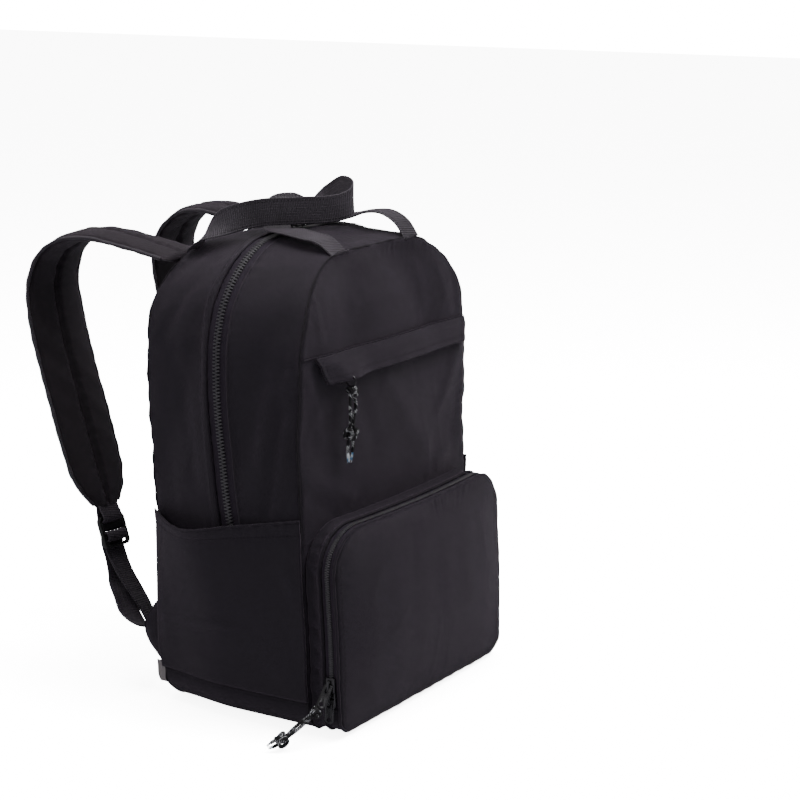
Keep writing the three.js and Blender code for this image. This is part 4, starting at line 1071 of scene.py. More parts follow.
def braid_material(name):
    """Braided cord: crossing dark strands on its UV map, with white flecks in some of them."""
    colour = (0.007, 0.0062, 0.008)
    material, tree, bsdf = start_material(name, colour, 0.55, Sheen_Weight=0.05)
    bsdf.inputs["Specular IOR Level"].default_value = 0.3
    place = node(tree, "ShaderNodeTexCoord")
    across, along = uv_parts(tree, place)
    strands_round = 4
    round_way = math_of(tree, "MULTIPLY", across, strands_round / (CORD_RADIUS / 1000))
    along_way = math_of(tree, "MULTIPLY", along, math.tau / 0.0024)
    first = math_of(tree, "SINE", math_of(tree, "ADD", round_way, along_way))
    second = math_of(tree, "SINE", math_of(tree, "SUBTRACT", round_way, along_way))
    height = math_of(tree, "MAXIMUM", first, second)
    spot = noise(tree, place.outputs["Object"], 240.0, 0.0)
    crown = math_of(tree, "MULTIPLY", spot, math_of(tree, "ADD", first, 1.2))
    fleck = math_of(tree, "GREATER_THAN", crown, 1.16)
    ramp = mixed_colour(tree, fleck, colour, (0.85, 0.86, 0.9))
    tree.links.new(ramp, bsdf.inputs["Base Color"])
    bumped(tree, bsdf, height, 0.00022)
    return material


def fray_material(name):
    """Loose cord ends: pale fibres that turn blue in places."""
    material, tree, bsdf = start_material(name, (0.5, 0.6, 0.68), 0.35, Sheen_Weight=0.3)
    place = node(tree, "ShaderNodeTexCoord")
    tone = noise(tree, place.outputs["Object"], 260.0, 2.0)
    ramp = node(tree, "ShaderNodeValToRGB")
    spots = ramp.color_ramp.elements
    spots[0].position, spots[0].color = 0.34, (0.01, 0.02, 0.035, 1)
    spots[1].position, spots[1].color = 0.56, (0.85, 0.9, 0.95, 1)
    middle = spots.new(0.45)
    middle.color = (0.03, 0.24, 0.5, 1)
    tree.links.new(tone, ramp.inputs["Fac"])
    tree.links.new(ramp.outputs["Color"], bsdf.inputs["Base Color"])
    bumped(tree, bsdf, tone, 0.0001)
    return material


def cached(name, make):
    """The material of that name, made the first time it is asked for."""
    found = bpy.data.materials.get(name)
    return found or make(name)


def nylon():
    return cached("nylon_cloth", lambda name: fabric(name, tuple(colours().nylon), 0.0009))


def strap_cloth():
    looks = {"weave": 0.0011, "roughness": 0.66, "sheen": 0.16, "tone": 0.35, "bump": 0.00018}
    return cached("strap_cloth", lambda name: fabric(name, tuple(colours().strap), **looks))


def webbing():
    return cached("ribbed_webbing", lambda name: webbing_material(name, tuple(colours().webbing)))


def tape():
    looks = {"weave": 0.0013, "roughness": 0.75, "sheen": 0.08, "tone": 0.35, "bump": 0.0002}
    return cached("zip_tape", lambda name: fabric(name, shaded(colours().nylon, 1.7), **looks))


def thread():
    looks = {"weave": 0.0006, "roughness": 0.6, "sheen": 0.06, "tone": 0.2, "bump": 0.0001}
    return cached("seam_thread", lambda name: fabric(name, shaded(colours().nylon, 0.6), **looks))


def tab_cloth():
    looks = {"weave": 0.0012, "roughness": 0.7, "sheen": 0.2, "tone": 0.3, "bump": 0.0002}
    return cached("tab_cloth", lambda name: fabric(name, tuple(colours().label), **looks))


def teeth():
    looks = {"roughness": 0.36, "metallic": 0.0, "grain": 700.0}
    return cached("zip_teeth", lambda name: hard_material(name, tuple(colours().teeth), **looks))


def metal():
    looks = {"roughness": 0.26, "metallic": 1.0, "grain": 900.0}
    return cached("gunmetal", lambda name: hard_material(name, tuple(colours().metal), **looks))


def plastic():
    looks = {"colour": (0.0055, 0.005, 0.006), "roughness": 0.46, "metallic": 0.0, "grain": 600.0}
    return cached("moulded_black", lambda name: hard_material(name, **looks))


# Stage


def floor_material():
    """Matt and pale to the light that falls on it, and near white to the eye, with a soft shadow."""
    material, tree, shader = start_material("pale_floor", (0.55, 0.55, 0.58), 0.6)
    shader.inputs["Specular IOR Level"].default_value = 0.2
    seen = node(tree, "ShaderNodeBsdfDiffuse", in_Color=(FLOOR_SEEN, FLOOR_SEEN, FLOOR_SEEN, 1))
    glow = node(tree, "ShaderNodeEmission", in_Color=(1, 1, 1, 1), in_Strength=FLOOR_GLOW)
    added = node(tree, "ShaderNodeAddShader")
    tree.links.new(seen.outputs[0], added.inputs[0])
    tree.links.new(glow.outputs[0], added.inputs[1])
    chosen(tree, shader.outputs[0], added.outputs[0], "ShaderNodeOutputMaterial")
    return material


def studio_world():
    """Even pale light all round, seen as a near white backdrop."""
    world = bpy.data.worlds.new("studio")
    world.use_nodes = True
    tree = world.node_tree
    tree.nodes.clear()
    lit = node(tree, "ShaderNodeBackground", in_Color=(1, 1, 1, 1), in_Strength=STUDIO_LIGHT)
    seen = node(tree, "ShaderNodeBackground", in_Color=(1, 1, 1, 1), in_Strength=STUDIO_SEEN)
    node(tree, "ShaderNodeOutputWorld")
    chosen(tree, lit.outputs[0], seen.outputs[0], "ShaderNodeOutputWorld")
    return world


def chosen(tree, lit, seen, kind):
    """Links a tree's output to one shader for light that bounces and another for what is seen."""
    rays = node(tree, "ShaderNodeLightPath")
    mix = node(tree, "ShaderNodeMixShader")
    tree.links.new(rays.outputs["Is Camera Ray"], mix.inputs["Fac"])
    tree.links.new(lit, mix.inputs[1])
    tree.links.new(seen, mix.inputs[2])
    output = next(found for found in tree.nodes if found.bl_idname == kind)
    tree.links.new(mix.outputs[0], output.inputs["Surface"])


def make_stage():
    """Camera at the photograph's angle, a pale floor in a pale studio, and soft lights. Floor and
    studio look brighter than the light that they give, as an overexposed backdrop does."""
    scene = bpy.context.scene
    lens = bpy.data.cameras.new("camera")
    lens.lens, lens.sensor_width, lens.clip_end = CAMERA_LENS, CAMERA_SENSOR, CAMERA_REACH
    camera = bpy.data.objects.new("camera", lens)
    camera.location = CAMERA_PLACE
    camera.rotation_euler = [math.radians(turn) for turn in CAMERA_TURN]
    scene.collection.objects.link(camera)
    scene.camera = camera

    mesh = bpy.data.meshes.new("floor")
    corners = [(x * FLOOR_REACH, y * FLOOR_REACH, 0) for x, y in ((-1, -1), (1, -1), (1, 1), (-1, 1))]
    mesh.from_pydata(corners, [], [(0, 1, 2, 3)])
    floor = bpy.data.objects.new("floor", mesh)
    scene.collection.objects.link(floor)
    mesh.materials.append(floor_material())

    scene.world = studio_world()
    for name, place, width, power in LIGHTS:
        lamp = bpy.data.lights.new(name, "AREA")
        lamp.shape, lamp.size, lamp.energy = "DISK", width, power
        lit = bpy.data.objects.new(name, lamp)
        lit.location = place
        aim = Vector((0, 0, LIGHTS_AIM)) - Vector(place)
        lit.rotation_euler = aim.to_track_quat("-Z", "Y").to_euler()
        scene.collection.objects.link(lit)


# Cords


def knot_path(size, flat, count=120):
    """Closed trefoil: x = sin t + 2 sin 2t, y = cos t - 2 cos 2t, z = -sin 3t, scaled."""
    t = np.linspace(0, 2 * np.pi, count, endpoint=False)
    x = np.sin(t) + 2 * np.sin(2 * t)
    y = np.cos(t) - 2 * np.cos(2 * t)
    return np.stack([x, y, -np.sin(3 * t) * flat], axis=-1) * size


def turned_to(points, way, origin):
    """Points with their Z turned to a way, and then moved to an origin."""
    turn = Vector((0, 0, 1)).rotation_difference(Vector(way)).to_matrix()
    return points @ np.array(turn).T + np.asarray(origin)


def knot(size, flat, way, place, radius):
    """A tight knot of cord that lies round a place and faces a way."""
    path = turned_to(knot_path(size, flat), way, place)
    return tube(round_tube(path, radius, 10, True), loop=True)


def make_cord(cord):
    """One knotted cord: a hitch, two declared strands, a knot, and two short tails that fray."""
    name = cord["name"]
    braid = cached("braided_cord", braid_material)
    strands = [np.array(points, float) for points in cord["strands"]]
    hitch_way = unit(np.array(cord["hitch_way"], float))
    end_way = unit(np.array(cord["end_way"], float))
    top = (strands[0][0] + strands[1][0]) / 2 - hitch_way * 3.4
    hitch = knot(1.5, 1.8, hitch_way, top, CORD_RADIUS * 1.1)
    hitch_piece = add_piece(f"{name}_knot_upper", hitch, braid, replaces=[f"{name}_hitch"])
    foot = (strands[0][-1] + strands[1][-1]) / 2 + end_way * 4.4
    last = knot(1.9, 2.1, end_way, foot, CORD_RADIUS * 1.25)
    tail_length = cord["end_length"] - 15
    side = unit(np.cross(end_way, (0.3, 1, 0.2)))
    tails, frays = [], []
    for turn in (-1, 1):
        t = np.linspace(0, 1, 18)[:, None]
        path = foot + end_way * (3 + tail_length * 0.62 * t) + side * turn * (1.5 + 1.6 * np.sin(2.4 * t))
        tails.append(tube(round_tube(path, CORD_RADIUS * np.linspace(1.2, 1.0, 18), 10)))
        frays.extend(fray(path[-1], unit(path[-1] - path[-4]), tail_length * 0.42, turn))
    end = add_piece(f"{name}_knot_lower", together([last, *tails]), braid, replaces=[f"{name}_end"])
    loose = add_piece(f"{name}_fray", together(frays), cached("frayed_ends", fray_material))
    for number, points in enumerate(strands, 1):
        t = np.linspace(0, 1, 36)
        path = centripetal(points, t)
        grid = round_tube(path, CORD_RADIUS, 14)
        piece = add_piece(f"{name}_strand_{number}_braid", tube(grid), braid,
                          replaces=[f"{name}_strand_{number}"])


def fray(start, way, length, seed):
    """Thin fibres that open out from a cord's cut end."""
    rng = np.random.default_rng(40 + seed)
    made = []
    t = np.linspace(0, 1, 7)[:, None]
    for _ in range(12):
        aside = unit(np.cross(way, rng.normal(size=3)))
        reach = length * rng.uniform(0.6, 1.0)
        spread = rng.uniform(0.3, 1.5)
        path = start - way * 1.5 + way * (reach + 1.5) * t + aside * (0.5 + spread * t * (1.4 - t))
        made.append(tube(round_tube(path, 0.34 * np.linspace(1, 0.55, 7), 5)))
    return made


# Seams, stitches and edges


def bead(path, up, radius, waver=0.0, loop=False, sides=10):
    """A seam's raised edge: a round tube along the seam that wavers a little in and out."""
    length = travelled(path)
    shift = waver * (np.sin(length / 7.3) + 0.6 * np.sin(length / 3.1 + 1))
    moved = path + up * shift[:, None]
    swell = radius * (1 + 0.12 * np.sin(length / 2.9) + 0.08 * np.sin(length / 11.0))
    return tube(round_tube(moved, swell, sides, loop), loop=loop)


def stitch_shape(long, wide, high):
    """One stitch: a slim rounded grain, longest along X."""
    t = np.linspace(0, 1, 4)
    size = np.sin(np.pi * np.clip(t, 0.08, 0.92)) ** 0.6
    angle = np.linspace(0, 2 * np.pi, 5, endpoint=False)
    across = size[:, None] * np.cos(angle) * wide / 2
    up = size[:, None] * np.sin(angle) * high / 2
    return tube(points_of((t[:, None] - 0.5) * long, across, up))


def resampled(path, spacing):
    """The path's points at an even spacing, with the share of the way at each."""
    length = travelled(path)
    count = max(2, int(length[-1] / spacing))
    at = (np.arange(count) + 0.5) * length[-1] / count
    return read_at(at, length, path), at / length[-1]


def stitches(path, up, lift=0.0):
    """A row of stitches along a path, lying on the cloth whose ways out are given."""
    pitch = sizes().stitch_length * 1000
    places, share = resampled(path, pitch)
    at = np.linspace(0, 1, len(path))
    ups = read_at(share, at, up)
    along, side, out = frames_along(places, ups)
    return repeated(stitch_shape(pitch * 0.64, 0.55, 0.4), places + out * lift, along, side, out)


# Main body


def face_panel(facing):
    """Front or back: rows over the outline's height by shares of its half width on the slack body,
    its rim turned in, with creases over it and gathers beside its seam."""
    z, half = levels(BODY_SHAPE, step())
    share = np.linspace(-1, 1, int(BODY_WIDTH / step()) + 1)
    x = share[None] * half[:, None]
    z = np.broadcast_to(z[:, None], x.shape)
    inside = np.clip(inside_by(BODY_SHAPE, x, z), 0, None)
    rim = 2.2
    turn = rim - np.sqrt(np.maximum(rim**2 - np.maximum(rim - inside, 0) ** 2, 0))
    grid = settle(np.stack([x, np.full(x.shape, facing * float(HALF_DEPTH)), z], axis=-1))
    angle = np.arctan2(z - 230, x)
    calm = smooth((inside - 1) / 10)
    grid = crumpled(grid, 1.0, 3, calm)
    grid[..., 1] -= facing * turn
    grid[..., 1] += facing * gathered(inside - 7, angle * 190, 10, 7, 2) * smooth(inside / 4)
    return grid


def cover(name, grid, thickness, outwards, material, replaces, ring=False):
    """A cloth piece whose outer grid faces roughly the given way."""
    middle = normals(grid, ring)[grid.shape[0] // 2, grid.shape[1] // 2]
    flip = float(middle @ np.asarray(outwards, float)) > 0
    return add_piece(name, cloth(grid, thickness, ring, flip), material, replaces=replaces)


def band_grid(path, start, end, columns):
    """A band over an outline between two depths, each a y and a shift along it: the band's points,
    and how far they are from its two edges."""
    share = np.linspace(0, 1, columns)[:, None]
    (from_y, from_shift), (to_y, to_shift) = start, end
    low = from_y + from_shift
    high = to_y + to_shift
    y = low + (high - low) * share
    first = placed(path[None], from_y + 0 * y, from_shift, 0)
    last = placed(path[None], to_y + 0 * y, to_shift, 0)
    middle = placed(path[None], y, 0, 0)
    grid = middle + (first - middle) * (1 - smooth(share * 12))[..., None]
    grid = grid + (last - grid) * (1 - smooth((1 - share) * 12))[..., None]
    return grid, y - low, high - y


def band(name, path, start, end, outwards, replaces, roll=None):
    """Cloth between two seams round the outline, crumpled, gathered beside both seams."""
    depth = abs(float(np.mean(end[0] - start[0])))
    columns = max(6, int(depth / step()))
    grid, from_start, to_end = band_grid(path, start, end, columns)
    along = run_lengths(grid, 1)[None]
    edge = smooth(np.minimum(from_start, to_end) / 9)
    grid = crumpled(grid, 1.0, 3, edge)
    out = normals(grid)
    sign = np.sign(out[grid.shape[0] // 2, grid.shape[1] // 2] @ np.asarray(outwards, float))
    pucker = gathered(from_start - 5, along, 9.5, 6, 1) + gathered(to_end - 5, along, 11, 6, 4)
    pucker = pucker * smooth(np.minimum(from_start, to_end) / 3)
    if roll is not None:
        pucker = pucker + roll(from_start, to_end)
    grid = grid + out * (sign * pucker)[..., None]
    return cover(name, grid, CLOTH, outwards, nylon(), replaces)


def make_body():
    """All cloth of the main body: its two faces, the bands beside the zip, the sides and the base."""
    cover("front_cloth", face_panel(-1), CLOTH, (0, -1, 0), nylon(), ["front_panel"])
    cover("back_cloth", face_panel(1), CLOTH, (0, 1, 0), nylon(), ["back_panel"])
    path = over_top(BODY_SHAPE, ZIP_END + SEAM_GAP, step())
    middle = zip_line(path[:, 1])[None]
    clear = MAIN_TAPE / 2 + SEAM_GAP
    whole = np.zeros_like(middle)
    band("front_band_cloth", path, (whole - HALF_DEPTH, SEAM_INSET), (middle, -clear), (0, 0, 1),
         ["top_band_front"], lambda start, end: 0.9 * np.exp(-((end - 2.5) / 2.2) ** 2))
    band("rear_band_cloth", path, (middle, clear), (whole + HALF_DEPTH, -SEAM_INSET), (0, 0, 1),
         ["top_band_rear"], lambda start, end: 1.7 * smooth((9 - start) / 2.4) * smooth(start / 1.6))
    side_line = line((-HALF_WIDTH, BASE_SEAM), (-HALF_WIDTH, ZIP_END), (-1, 0), step())
    zero = np.zeros((1, len(side_line)))
    for row in SIDES:
        side = side_line * np.array([-row["side"], 1, -row["side"], 1])
        start, end = (zero - HALF_DEPTH, SEAM_INSET), (zero + HALF_DEPTH, -SEAM_INSET)
        band(f"side_cloth_{row['name']}", side, start, end, (row["side"], 0, 0),
             [f"side_panel_{row['name']}"])
    foot = under_foot(BODY_SHAPE, BASE_SEAM - SEAM_GAP, step())
    zero = np.zeros((1, len(foot)))
    start, end = (zero - HALF_DEPTH, SEAM_INSET), (zero + HALF_DEPTH, -SEAM_INSET)
    grid, from_start, to_end = band_grid(foot, start, end, 64)
    edge = smooth(np.minimum(from_start, to_end) / 9) * smooth((grid[..., 2] - 3) / 9)
    grid = crumpled(grid, 0.8, 9, edge)
    cover("base_cloth", grid, CLOTH, (0, 0, -1), nylon(), ["base_panel"])


def ways_out(path):
    """Ways out of an outline's points, square to Y."""
    return np.stack([path[:, 2], np.zeros(len(path)), path[:, 3]], axis=-1)


def make_seams():
    """Raised seams round the front and rear outlines and over the side pockets' feet, and rows of
    stitches beside them and beside the main zip."""
    rows = []
    path = all_round(BODY_SHAPE, 1.6)
    for name, facing in (("front", -1), ("rear", 1)):
        points = placed(path, facing * HALF_DEPTH, -facing * 1.5, 0.5)
        points[:, 2] = np.maximum(points[:, 2], 2.1)
        out = unit(ways_out(path) + np.array([0, facing * 0.8, 0]))
        add_piece(f"{name}_seam", bead(points, out, 1.05, 0.45, loop=True), thread())
    y = np.linspace(-HALF_DEPTH + 3, HALF_DEPTH - 3, 90)
    for row in SIDES:
        low = on_side(row["side"], y, BASE_SEAM + 0 * y, 0.2)
        out = same_way((row["side"], 0, -0.2), low)
        rows.append(stitches(low + np.array([0, 0, -4.5]), out, 0.2))
        add_piece(f"side_seam_{row['name']}", bead(low, out, 1.1, 0.2), thread())
    path = over_top(BODY_SHAPE, ZIP_END + 2, 2.0)
    clear = MAIN_TAPE / 2 + SEAM_GAP
    for shift, lift in ((-clear - 2.6, 0.9), (clear + 5.5, 1.7)):
        points = placed(path, zip_line(path[:, 1]), shift, -lift)
        rows.append(stitches(points, ways_out(path), 0.1))
    add_piece("body_stitches", together(rows), thread())


# Pockets and flap


def make_side_pockets():
    """Open slip pockets: the side's slack surface plus a gape that grows with height and bows out
    between the seams, drawn up by elastic gathers at a rolled hem."""
    z = np.linspace(BASE_SEAM, HEM_HEIGHT, int((HEM_HEIGHT - BASE_SEAM) / step()) + 1)[:, None]
    share = np.linspace(0, 1, int(BODY_DEPTH / 1.9) + 1)[None]
    up = (z - BASE_SEAM) / (HEM_HEIGHT - BASE_SEAM)
    gape = (HEM_GAPE + 2) * up**1.6 * np.sin(np.pi * share**1.9)
    y = (-HALF_DEPTH + SEAM_GAP) + (BODY_DEPTH - 2 * SEAM_GAP) * share + 0 * z
    slant = HEM_RISE * (1 - 2 * share) - HEM_SAG * np.sin(np.pi * share)
    slant = slant - 6.5 * np.exp(-(((share - 0.7) / 0.23) ** 2))
    height = z + slant * up**3
    length = share * BODY_DEPTH
    for row in SIDES:
        side = row["side"]
        grid = on_side(side, y, height, LAY_GAP + gape + CLOTH)
        seams = smooth(np.minimum(share, 1 - share) * 12) * smooth(up * 8)
        hem = smooth((up - 0.93) / 0.02)
        grid = crumpled(grid, 0.75, 21, seams * (1 - hem))
        fold = np.exp(-(((up - 0.33 - 0.05 * np.sin(4 * share)) / 0.03) ** 2)) * smooth((share - 0.3) * 5)
        ruffle = np.sin(length / 1.25 + 2.2 * np.sin(length / 9))
        ruffle = ruffle + 0.8 * np.sin(length / 2.1 + 1.7 * np.sin(length / 6))
        gathers = 0.32 * ruffle * up**14 * (0.25 + 0.75 * smooth((0.45 - share) * 6)) * seams
        grid[..., 0] += side * (gathers + 1.2 * fold * seams + 0.9 * hem)
        cover(f"side_pocket_cloth_{row['name']}", grid, CLOTH, (side, 0, 0), nylon(),
              [f"side_pocket_{row['name']}"])
        top = grid[-1] + np.array([side * -0.9, 0, 0.4])
        out = same_way((side, 0, 0.4), top)
        add_piece(f"side_pocket_hem_{row['name']}", bead(top, out, 1.1, 0.1), nylon())
        low = grid[int(len(grid) * 0.925)]
        add_piece(f"side_pocket_stitches_{row['name']}", stitches(low, out, 0.35), thread())


def pocket_swell(share, z):
    """How far the pocket's front stands out: nothing at its edge, its bulge in the middle."""
    up = np.clip((z - POCKET_FOOT) / POCKET_HEIGHT, 0, 1)
    return POCKET_BULGE * (1 - share**4) * np.sin(np.pi * up) ** 0.7


def on_pocket(path, depth, inset):
    """Pocket outline points at a depth in front of the body, pushed inwards."""
    x, z, nx, nz = (path[..., k] for k in range(4))
    out = on_front(POCKET_X + x, z, depth)
    out[..., 0] -= nx * inset
    out[..., 2] -= nz * inset
    return out


def make_front_pocket():
    """The pocket's swollen front, its gusset with a tuck all the way round, its foot, the piping and
    seam on both sides of its zip, and a row of stitches on its front."""
    z, half = levels(POCKET_SHAPE, step())
    share = np.linspace(-1, 1, int(POCKET_WIDTH / step()) + 1)[None]
    x = share * half[:, None]
    z = z[:, None] + 0 * x
    inside = np.clip(inside_by(POCKET_SHAPE, x, z), 0, None)
    grid = on_front(POCKET_X + x, z, POCKET_DEPTH + CLOTH + pocket_swell(share, z))
    calm = smooth((inside - 2) / 14)
    grid = crumpled(grid, 0.8, 33, calm)
    rim = 2.4
    grid[..., 1] += rim - np.sqrt(np.maximum(rim**2 - np.maximum(rim - inside, 0) ** 2, 0))
    angle = np.arctan2(z - 96, x)
    grid[..., 1] -= gathered(inside - 6, angle * 120, 9, 7, 5) * smooth(inside / 4)
    cover("pocket_cloth", grid, CLOTH, (0, -1, 0), nylon(), ["pocket_front"])

    path = all_round(POCKET_SHAPE, 2.2)
    share = np.linspace(0, 1, 12)[:, None]
    tuck = CLOTH * 1.1 * np.sin(np.pi * share)
    depth = LAY_GAP + (GUSSET_DEPTH - LAY_GAP) * share
    length = np.arange(len(path)) * 2.2
    wrinkle = 0.8 * np.sin(length / 4.1 + 2.4 * np.sin(length / 23) + 2 * share)
    wrinkle = (wrinkle + 0.5 * np.sin(length / 2.3 + 1.9 * np.sin(length / 11))) * np.sin(np.pi * share)
    upright = smooth((-path[None, :, 2] - 0.3) * 2) * smooth((path[None, :, 1] - 9) / 20)
    grid = on_pocket(path[None], depth, tuck + wrinkle * (0.12 + 0.88 * upright))
    cover("pocket_gusset_cloth", grid, CLOTH, (0, 0, 1), nylon(), ["pocket_gusset"], ring=True)

    path = under_foot(POCKET_SHAPE, POCKET_ZIP_END, 2.2)
    depth = np.linspace(GUSSET_DEPTH + SEAM_GAP, POCKET_DEPTH - SEAM_GAP, 7)[:, None]
    grid = on_pocket(path[None], depth, 0)
    cover("pocket_foot_cloth", grid, CLOTH, (0, 0, -1), nylon(), ["pocket_base"])

    path = all_round(POCKET_SHAPE, 1.6)
    out = np.stack([path[:, 2], -0.8 + 0 * path[:, 2], path[:, 3]], axis=-1)
    rim_path = on_pocket(path, POCKET_DEPTH + 0.4, 0.3)
    rear_path = on_pocket(path, GUSSET_DEPTH + 0.1, -0.2)
    add_piece("pocket_piping", bead(rim_path, unit(out), 1.35, 0.12, loop=True), nylon())
    add_piece("pocket_gusset_seam", bead(rear_path, unit(out), 0.8, 0.12, loop=True), thread())
    x, z = path[:, 0] - path[:, 2] * 6, path[:, 1] - path[:, 3] * 6
    off = POCKET_DEPTH + CLOTH + pocket_swell(x / np.maximum(np.abs(path[:, 0]), 1), z) + 0.2
    ring = on_front(POCKET_X + x, z, off)
    add_piece("pocket_stitches", stitches(ring, same_way((0, -1, 0), ring), 0.2), thread())


def make_flap():
    """The flap over the upper zip: it leaves the front at its sewn top edge, bows over the zip,
    lifts over the slider and swells near its left end. Stitches run along its lower edge and left
    end, and a short row tacks the cloth beside it."""
    drop = np.linspace(0, 1, 18)[:, None]
    x = np.linspace(-FLAP_WIDTH / 2, FLAP_WIDTH / 2 + FLAP_OVERRUN, 136)[None]
    rows = np.array(FLAP_ROWS)
    lift = np.interp(drop, rows[:, 0], rows[:, 1]) * FLAP_DROP
    lift = lift + FLAP_END_LIFT * drop * np.exp(-(((x - FLAP_SLIDER_X) / (FLAP_DROP * 1.4)) ** 2))
    narrowed = x * (1 - 2 * FLAP_SLANT * drop / FLAP_WIDTH)
    wave = 0.9 * np.sin(x / 23 + 1) * drop + 0.35 * np.sin(x / 9.5 + 2 * np.sin(x / 31)) * drop**2
    lift = lift + 2.2 * np.sin(np.pi * drop) * np.exp(-(((x + 99) / 13) ** 2))
    hem = 0.35 * smooth((drop - 0.74) / 0.04)
    grid = on_front(narrowed, FLAP_TOP - drop * FLAP_HANG, LAY_GAP + lift + FLAP_THICKNESS + wave + hem)
    cover("flap_cloth", grid, FLAP_THICKNESS, (0, -1, 0), nylon(), ["front_flap"])
    edge = grid[-1] + np.array([0, 1.0, 0.2])
    forward = same_way((0, -1, 0.25), edge)
    add_piece("flap_edge", bead(edge, forward, 0.85, 0.1), nylon())
    x = np.linspace(-HALF_WIDTH + 3, FLAP_WIDTH / 2 + FLAP_OVERRUN, 150)
    reach = smooth((x + FLAP_WIDTH / 2 + 2) / 6)
    top = on_front(x, FLAP_TOP + 0.4 + 0 * x, 0.2 + 1.4 * reach)
    add_piece("flap_seam", bead(top, same_way((0, -1, 0.5), top), 0.7, 0.15), nylon())
    rows = [stitches(grid[13], forward, 0.1)]
    x = np.linspace(-HALF_WIDTH + 3, -FLAP_WIDTH / 2 - 3, 12)
    tack = on_front(x, FLAP_TOP - FLAP_DROP - 2 + 0 * x, 0.4)
    for row in (grid[2:16, 3], tack):
        rows.append(stitches(row, same_way((0, -1, 0), row), 0.1))
    add_piece("flap_stitches", together(rows), thread())


# Zips


def tooth_shape(long, wide, high):
    """One tooth: a block with its corners cut and its top rounded in, longest across the zip."""
    corners = np.array([
        (1, 0.55), (0.6, 1), (-0.6, 1), (-1, 0.55),
        (-1, -0.55), (-0.6, -1), (0.6, -1), (1, -0.55),
    ])
    size = np.array([[1.0], [1.0], [0.72]])
    height = np.array([[0.0], [0.68], [1.0]])
    return tube(points_of(size * corners[:, 0] * wide / 2, size * corners[:, 1] * long / 2, height * high))


def chain(path, out, pitch, tooth, reach):
    """Two rows of teeth that mesh: each row steps by the pitch, the second by half a step more."""
    length = travelled(path)
    made = []
    for side, start in ((-1, 0.25), (1, 0.75)):
        at = np.arange(start * pitch, length[-1], pitch)
        places = read_at(at, length, path)
        along, across, up = frames_along(places, read_at(at, length, out))
        made.append(repeated(tooth, places + across * side * reach, along, across, up))
    return together(made)


def make_main_zip():
    """A woven tape over the top between the two bands, with chunky moulded teeth along its middle."""
    path = over_top(BODY_SHAPE, ZIP_END + SEAM_GAP, 2.2)
    middle = zip_line(path[:, 1])
    across = np.linspace(-MAIN_TAPE / 2 - 1, MAIN_TAPE / 2 + 1, 15)[:, None]
    cord_rise = 0.7 * np.exp(-(((np.abs(across) - MAIN_CHAIN / 2) / 1.0) ** 2))
    ripple = 0.18 * np.sin(np.arange(path.shape[0])[None] * 2.2 / 3.1) * np.abs(across) / 10
    grid = placed(path[None], middle + 0 * across, across, LAY_GAP + 0.5 - cord_rise + ripple)
    cover("main_zip_tape", grid, TAPE_THICKNESS * 0.8, (0, 0, 1), tape(), ["main_zip"])
    seat = placed(path, middle, 0, LAY_GAP + 0.2)
    tooth = tooth_shape(4.6, 1.75, MAIN_RISE + 0.3)
    made = chain(seat, ways_out(path), sizes().main_tooth * 1000, tooth, 1.35)
    piece = add_piece("main_zip_teeth", made, teeth())
    piece.data.shade_flat()


def make_small_zips():
    """Coil zips round the front pocket and under the flap: a tape, and two rows of coil turns."""
    coil = tooth_shape(2.8, 1.25, SMALL_RISE)
    pitch = sizes().coil_turn * 1000
    path = over_top(POCKET_SHAPE, POCKET_ZIP_END + SEAM_GAP, 1.8)
    across = np.linspace(-POCKET_TAPE / 2 - 0.6, POCKET_TAPE / 2 + 0.6, 13)[:, None]
    fold = 0.5 * np.exp(-(((np.abs(across) - 4.6) / 0.8) ** 2))
    grid = on_pocket(path[None], POCKET_ZIP_DEPTH + across, LAY_GAP + 0.3 - fold)
    cover("pocket_zip_tape", grid, TAPE_THICKNESS * 0.8, (0, 0, 1), tape(), ["pocket_zip"])
    middle = on_pocket(path, POCKET_ZIP_DEPTH, LAY_GAP + 0.1)
    add_piece("pocket_zip_coil", chain(middle, ways_out(path), pitch, coil, 0.95), teeth())

    x = np.linspace(-FLAP_ZIP_WIDTH / 2 + 14, FLAP_ZIP_WIDTH / 2, 120)
    across = np.linspace(-FLAP_TAPE * 0.3, FLAP_TAPE / 2, 9)[:, None]
    grid = on_front(x[None] + 0 * across, FLAP_ZIP_HEIGHT + across, LAY_GAP + TAPE_THICKNESS)
    cover("flap_zip_tape", grid, TAPE_THICKNESS * 0.8, (0, -1, 0), tape(), ["flap_zip"])
    middle = on_front(x, FLAP_ZIP_HEIGHT + 0 * x, LAY_GAP + TAPE_THICKNESS)
    forward = same_way((0, -1, 0), middle)
    add_piece("flap_zip_coil", chain(middle, forward, pitch, coil, 0.95), teeth())


# Straps, webbing and handles


def strap_stations(row, count):
    """Stations of one shoulder strap along its route."""
    table = np.array(STRAP_ROUTE)
    side, lift = row["side"], row["lift"]
    middles = np.stack(
        [
            side * (STRAP_ROOT_X + table[:, 2] * STRAP_WIDTH),
            HALF_DEPTH + table[:, 0] * STRAP_REACH,
            BODY_HEIGHT - STRAP_ROOT_DROP + table[:, 1] * STRAP_RISE + lift * np.sin(np.pi * table[:, 0]),
        ],
        axis=-1,
    )
    across = np.stack([np.full(len(table), float(side)), table[:, 5], 0 * table[:, 5]], axis=-1)
    return stations(middles, across, count, table[:, 3] * STRAP_WIDTH, table[:, 4] * STRAP_THICKNESS)


def padded_section(angle):
    """Half width and half thickness of two padded channels with a seam between them: the width goes
    as a cosine and the thickness dips by a narrow bell at the middle and ends at the rims."""
    u = np.cos(angle)
    rim = np.maximum(1 - np.abs(u) ** 2.6, 0) ** 0.62
    dip = 1 - 0.66 * np.exp(-((u / 0.085) ** 2))
    pinch = 1 - 0.55 * smooth((np.abs(u) - 0.86) / 0.1)
    return u / 2, np.sign(np.sin(angle)) * rim * dip * pinch * 0.52


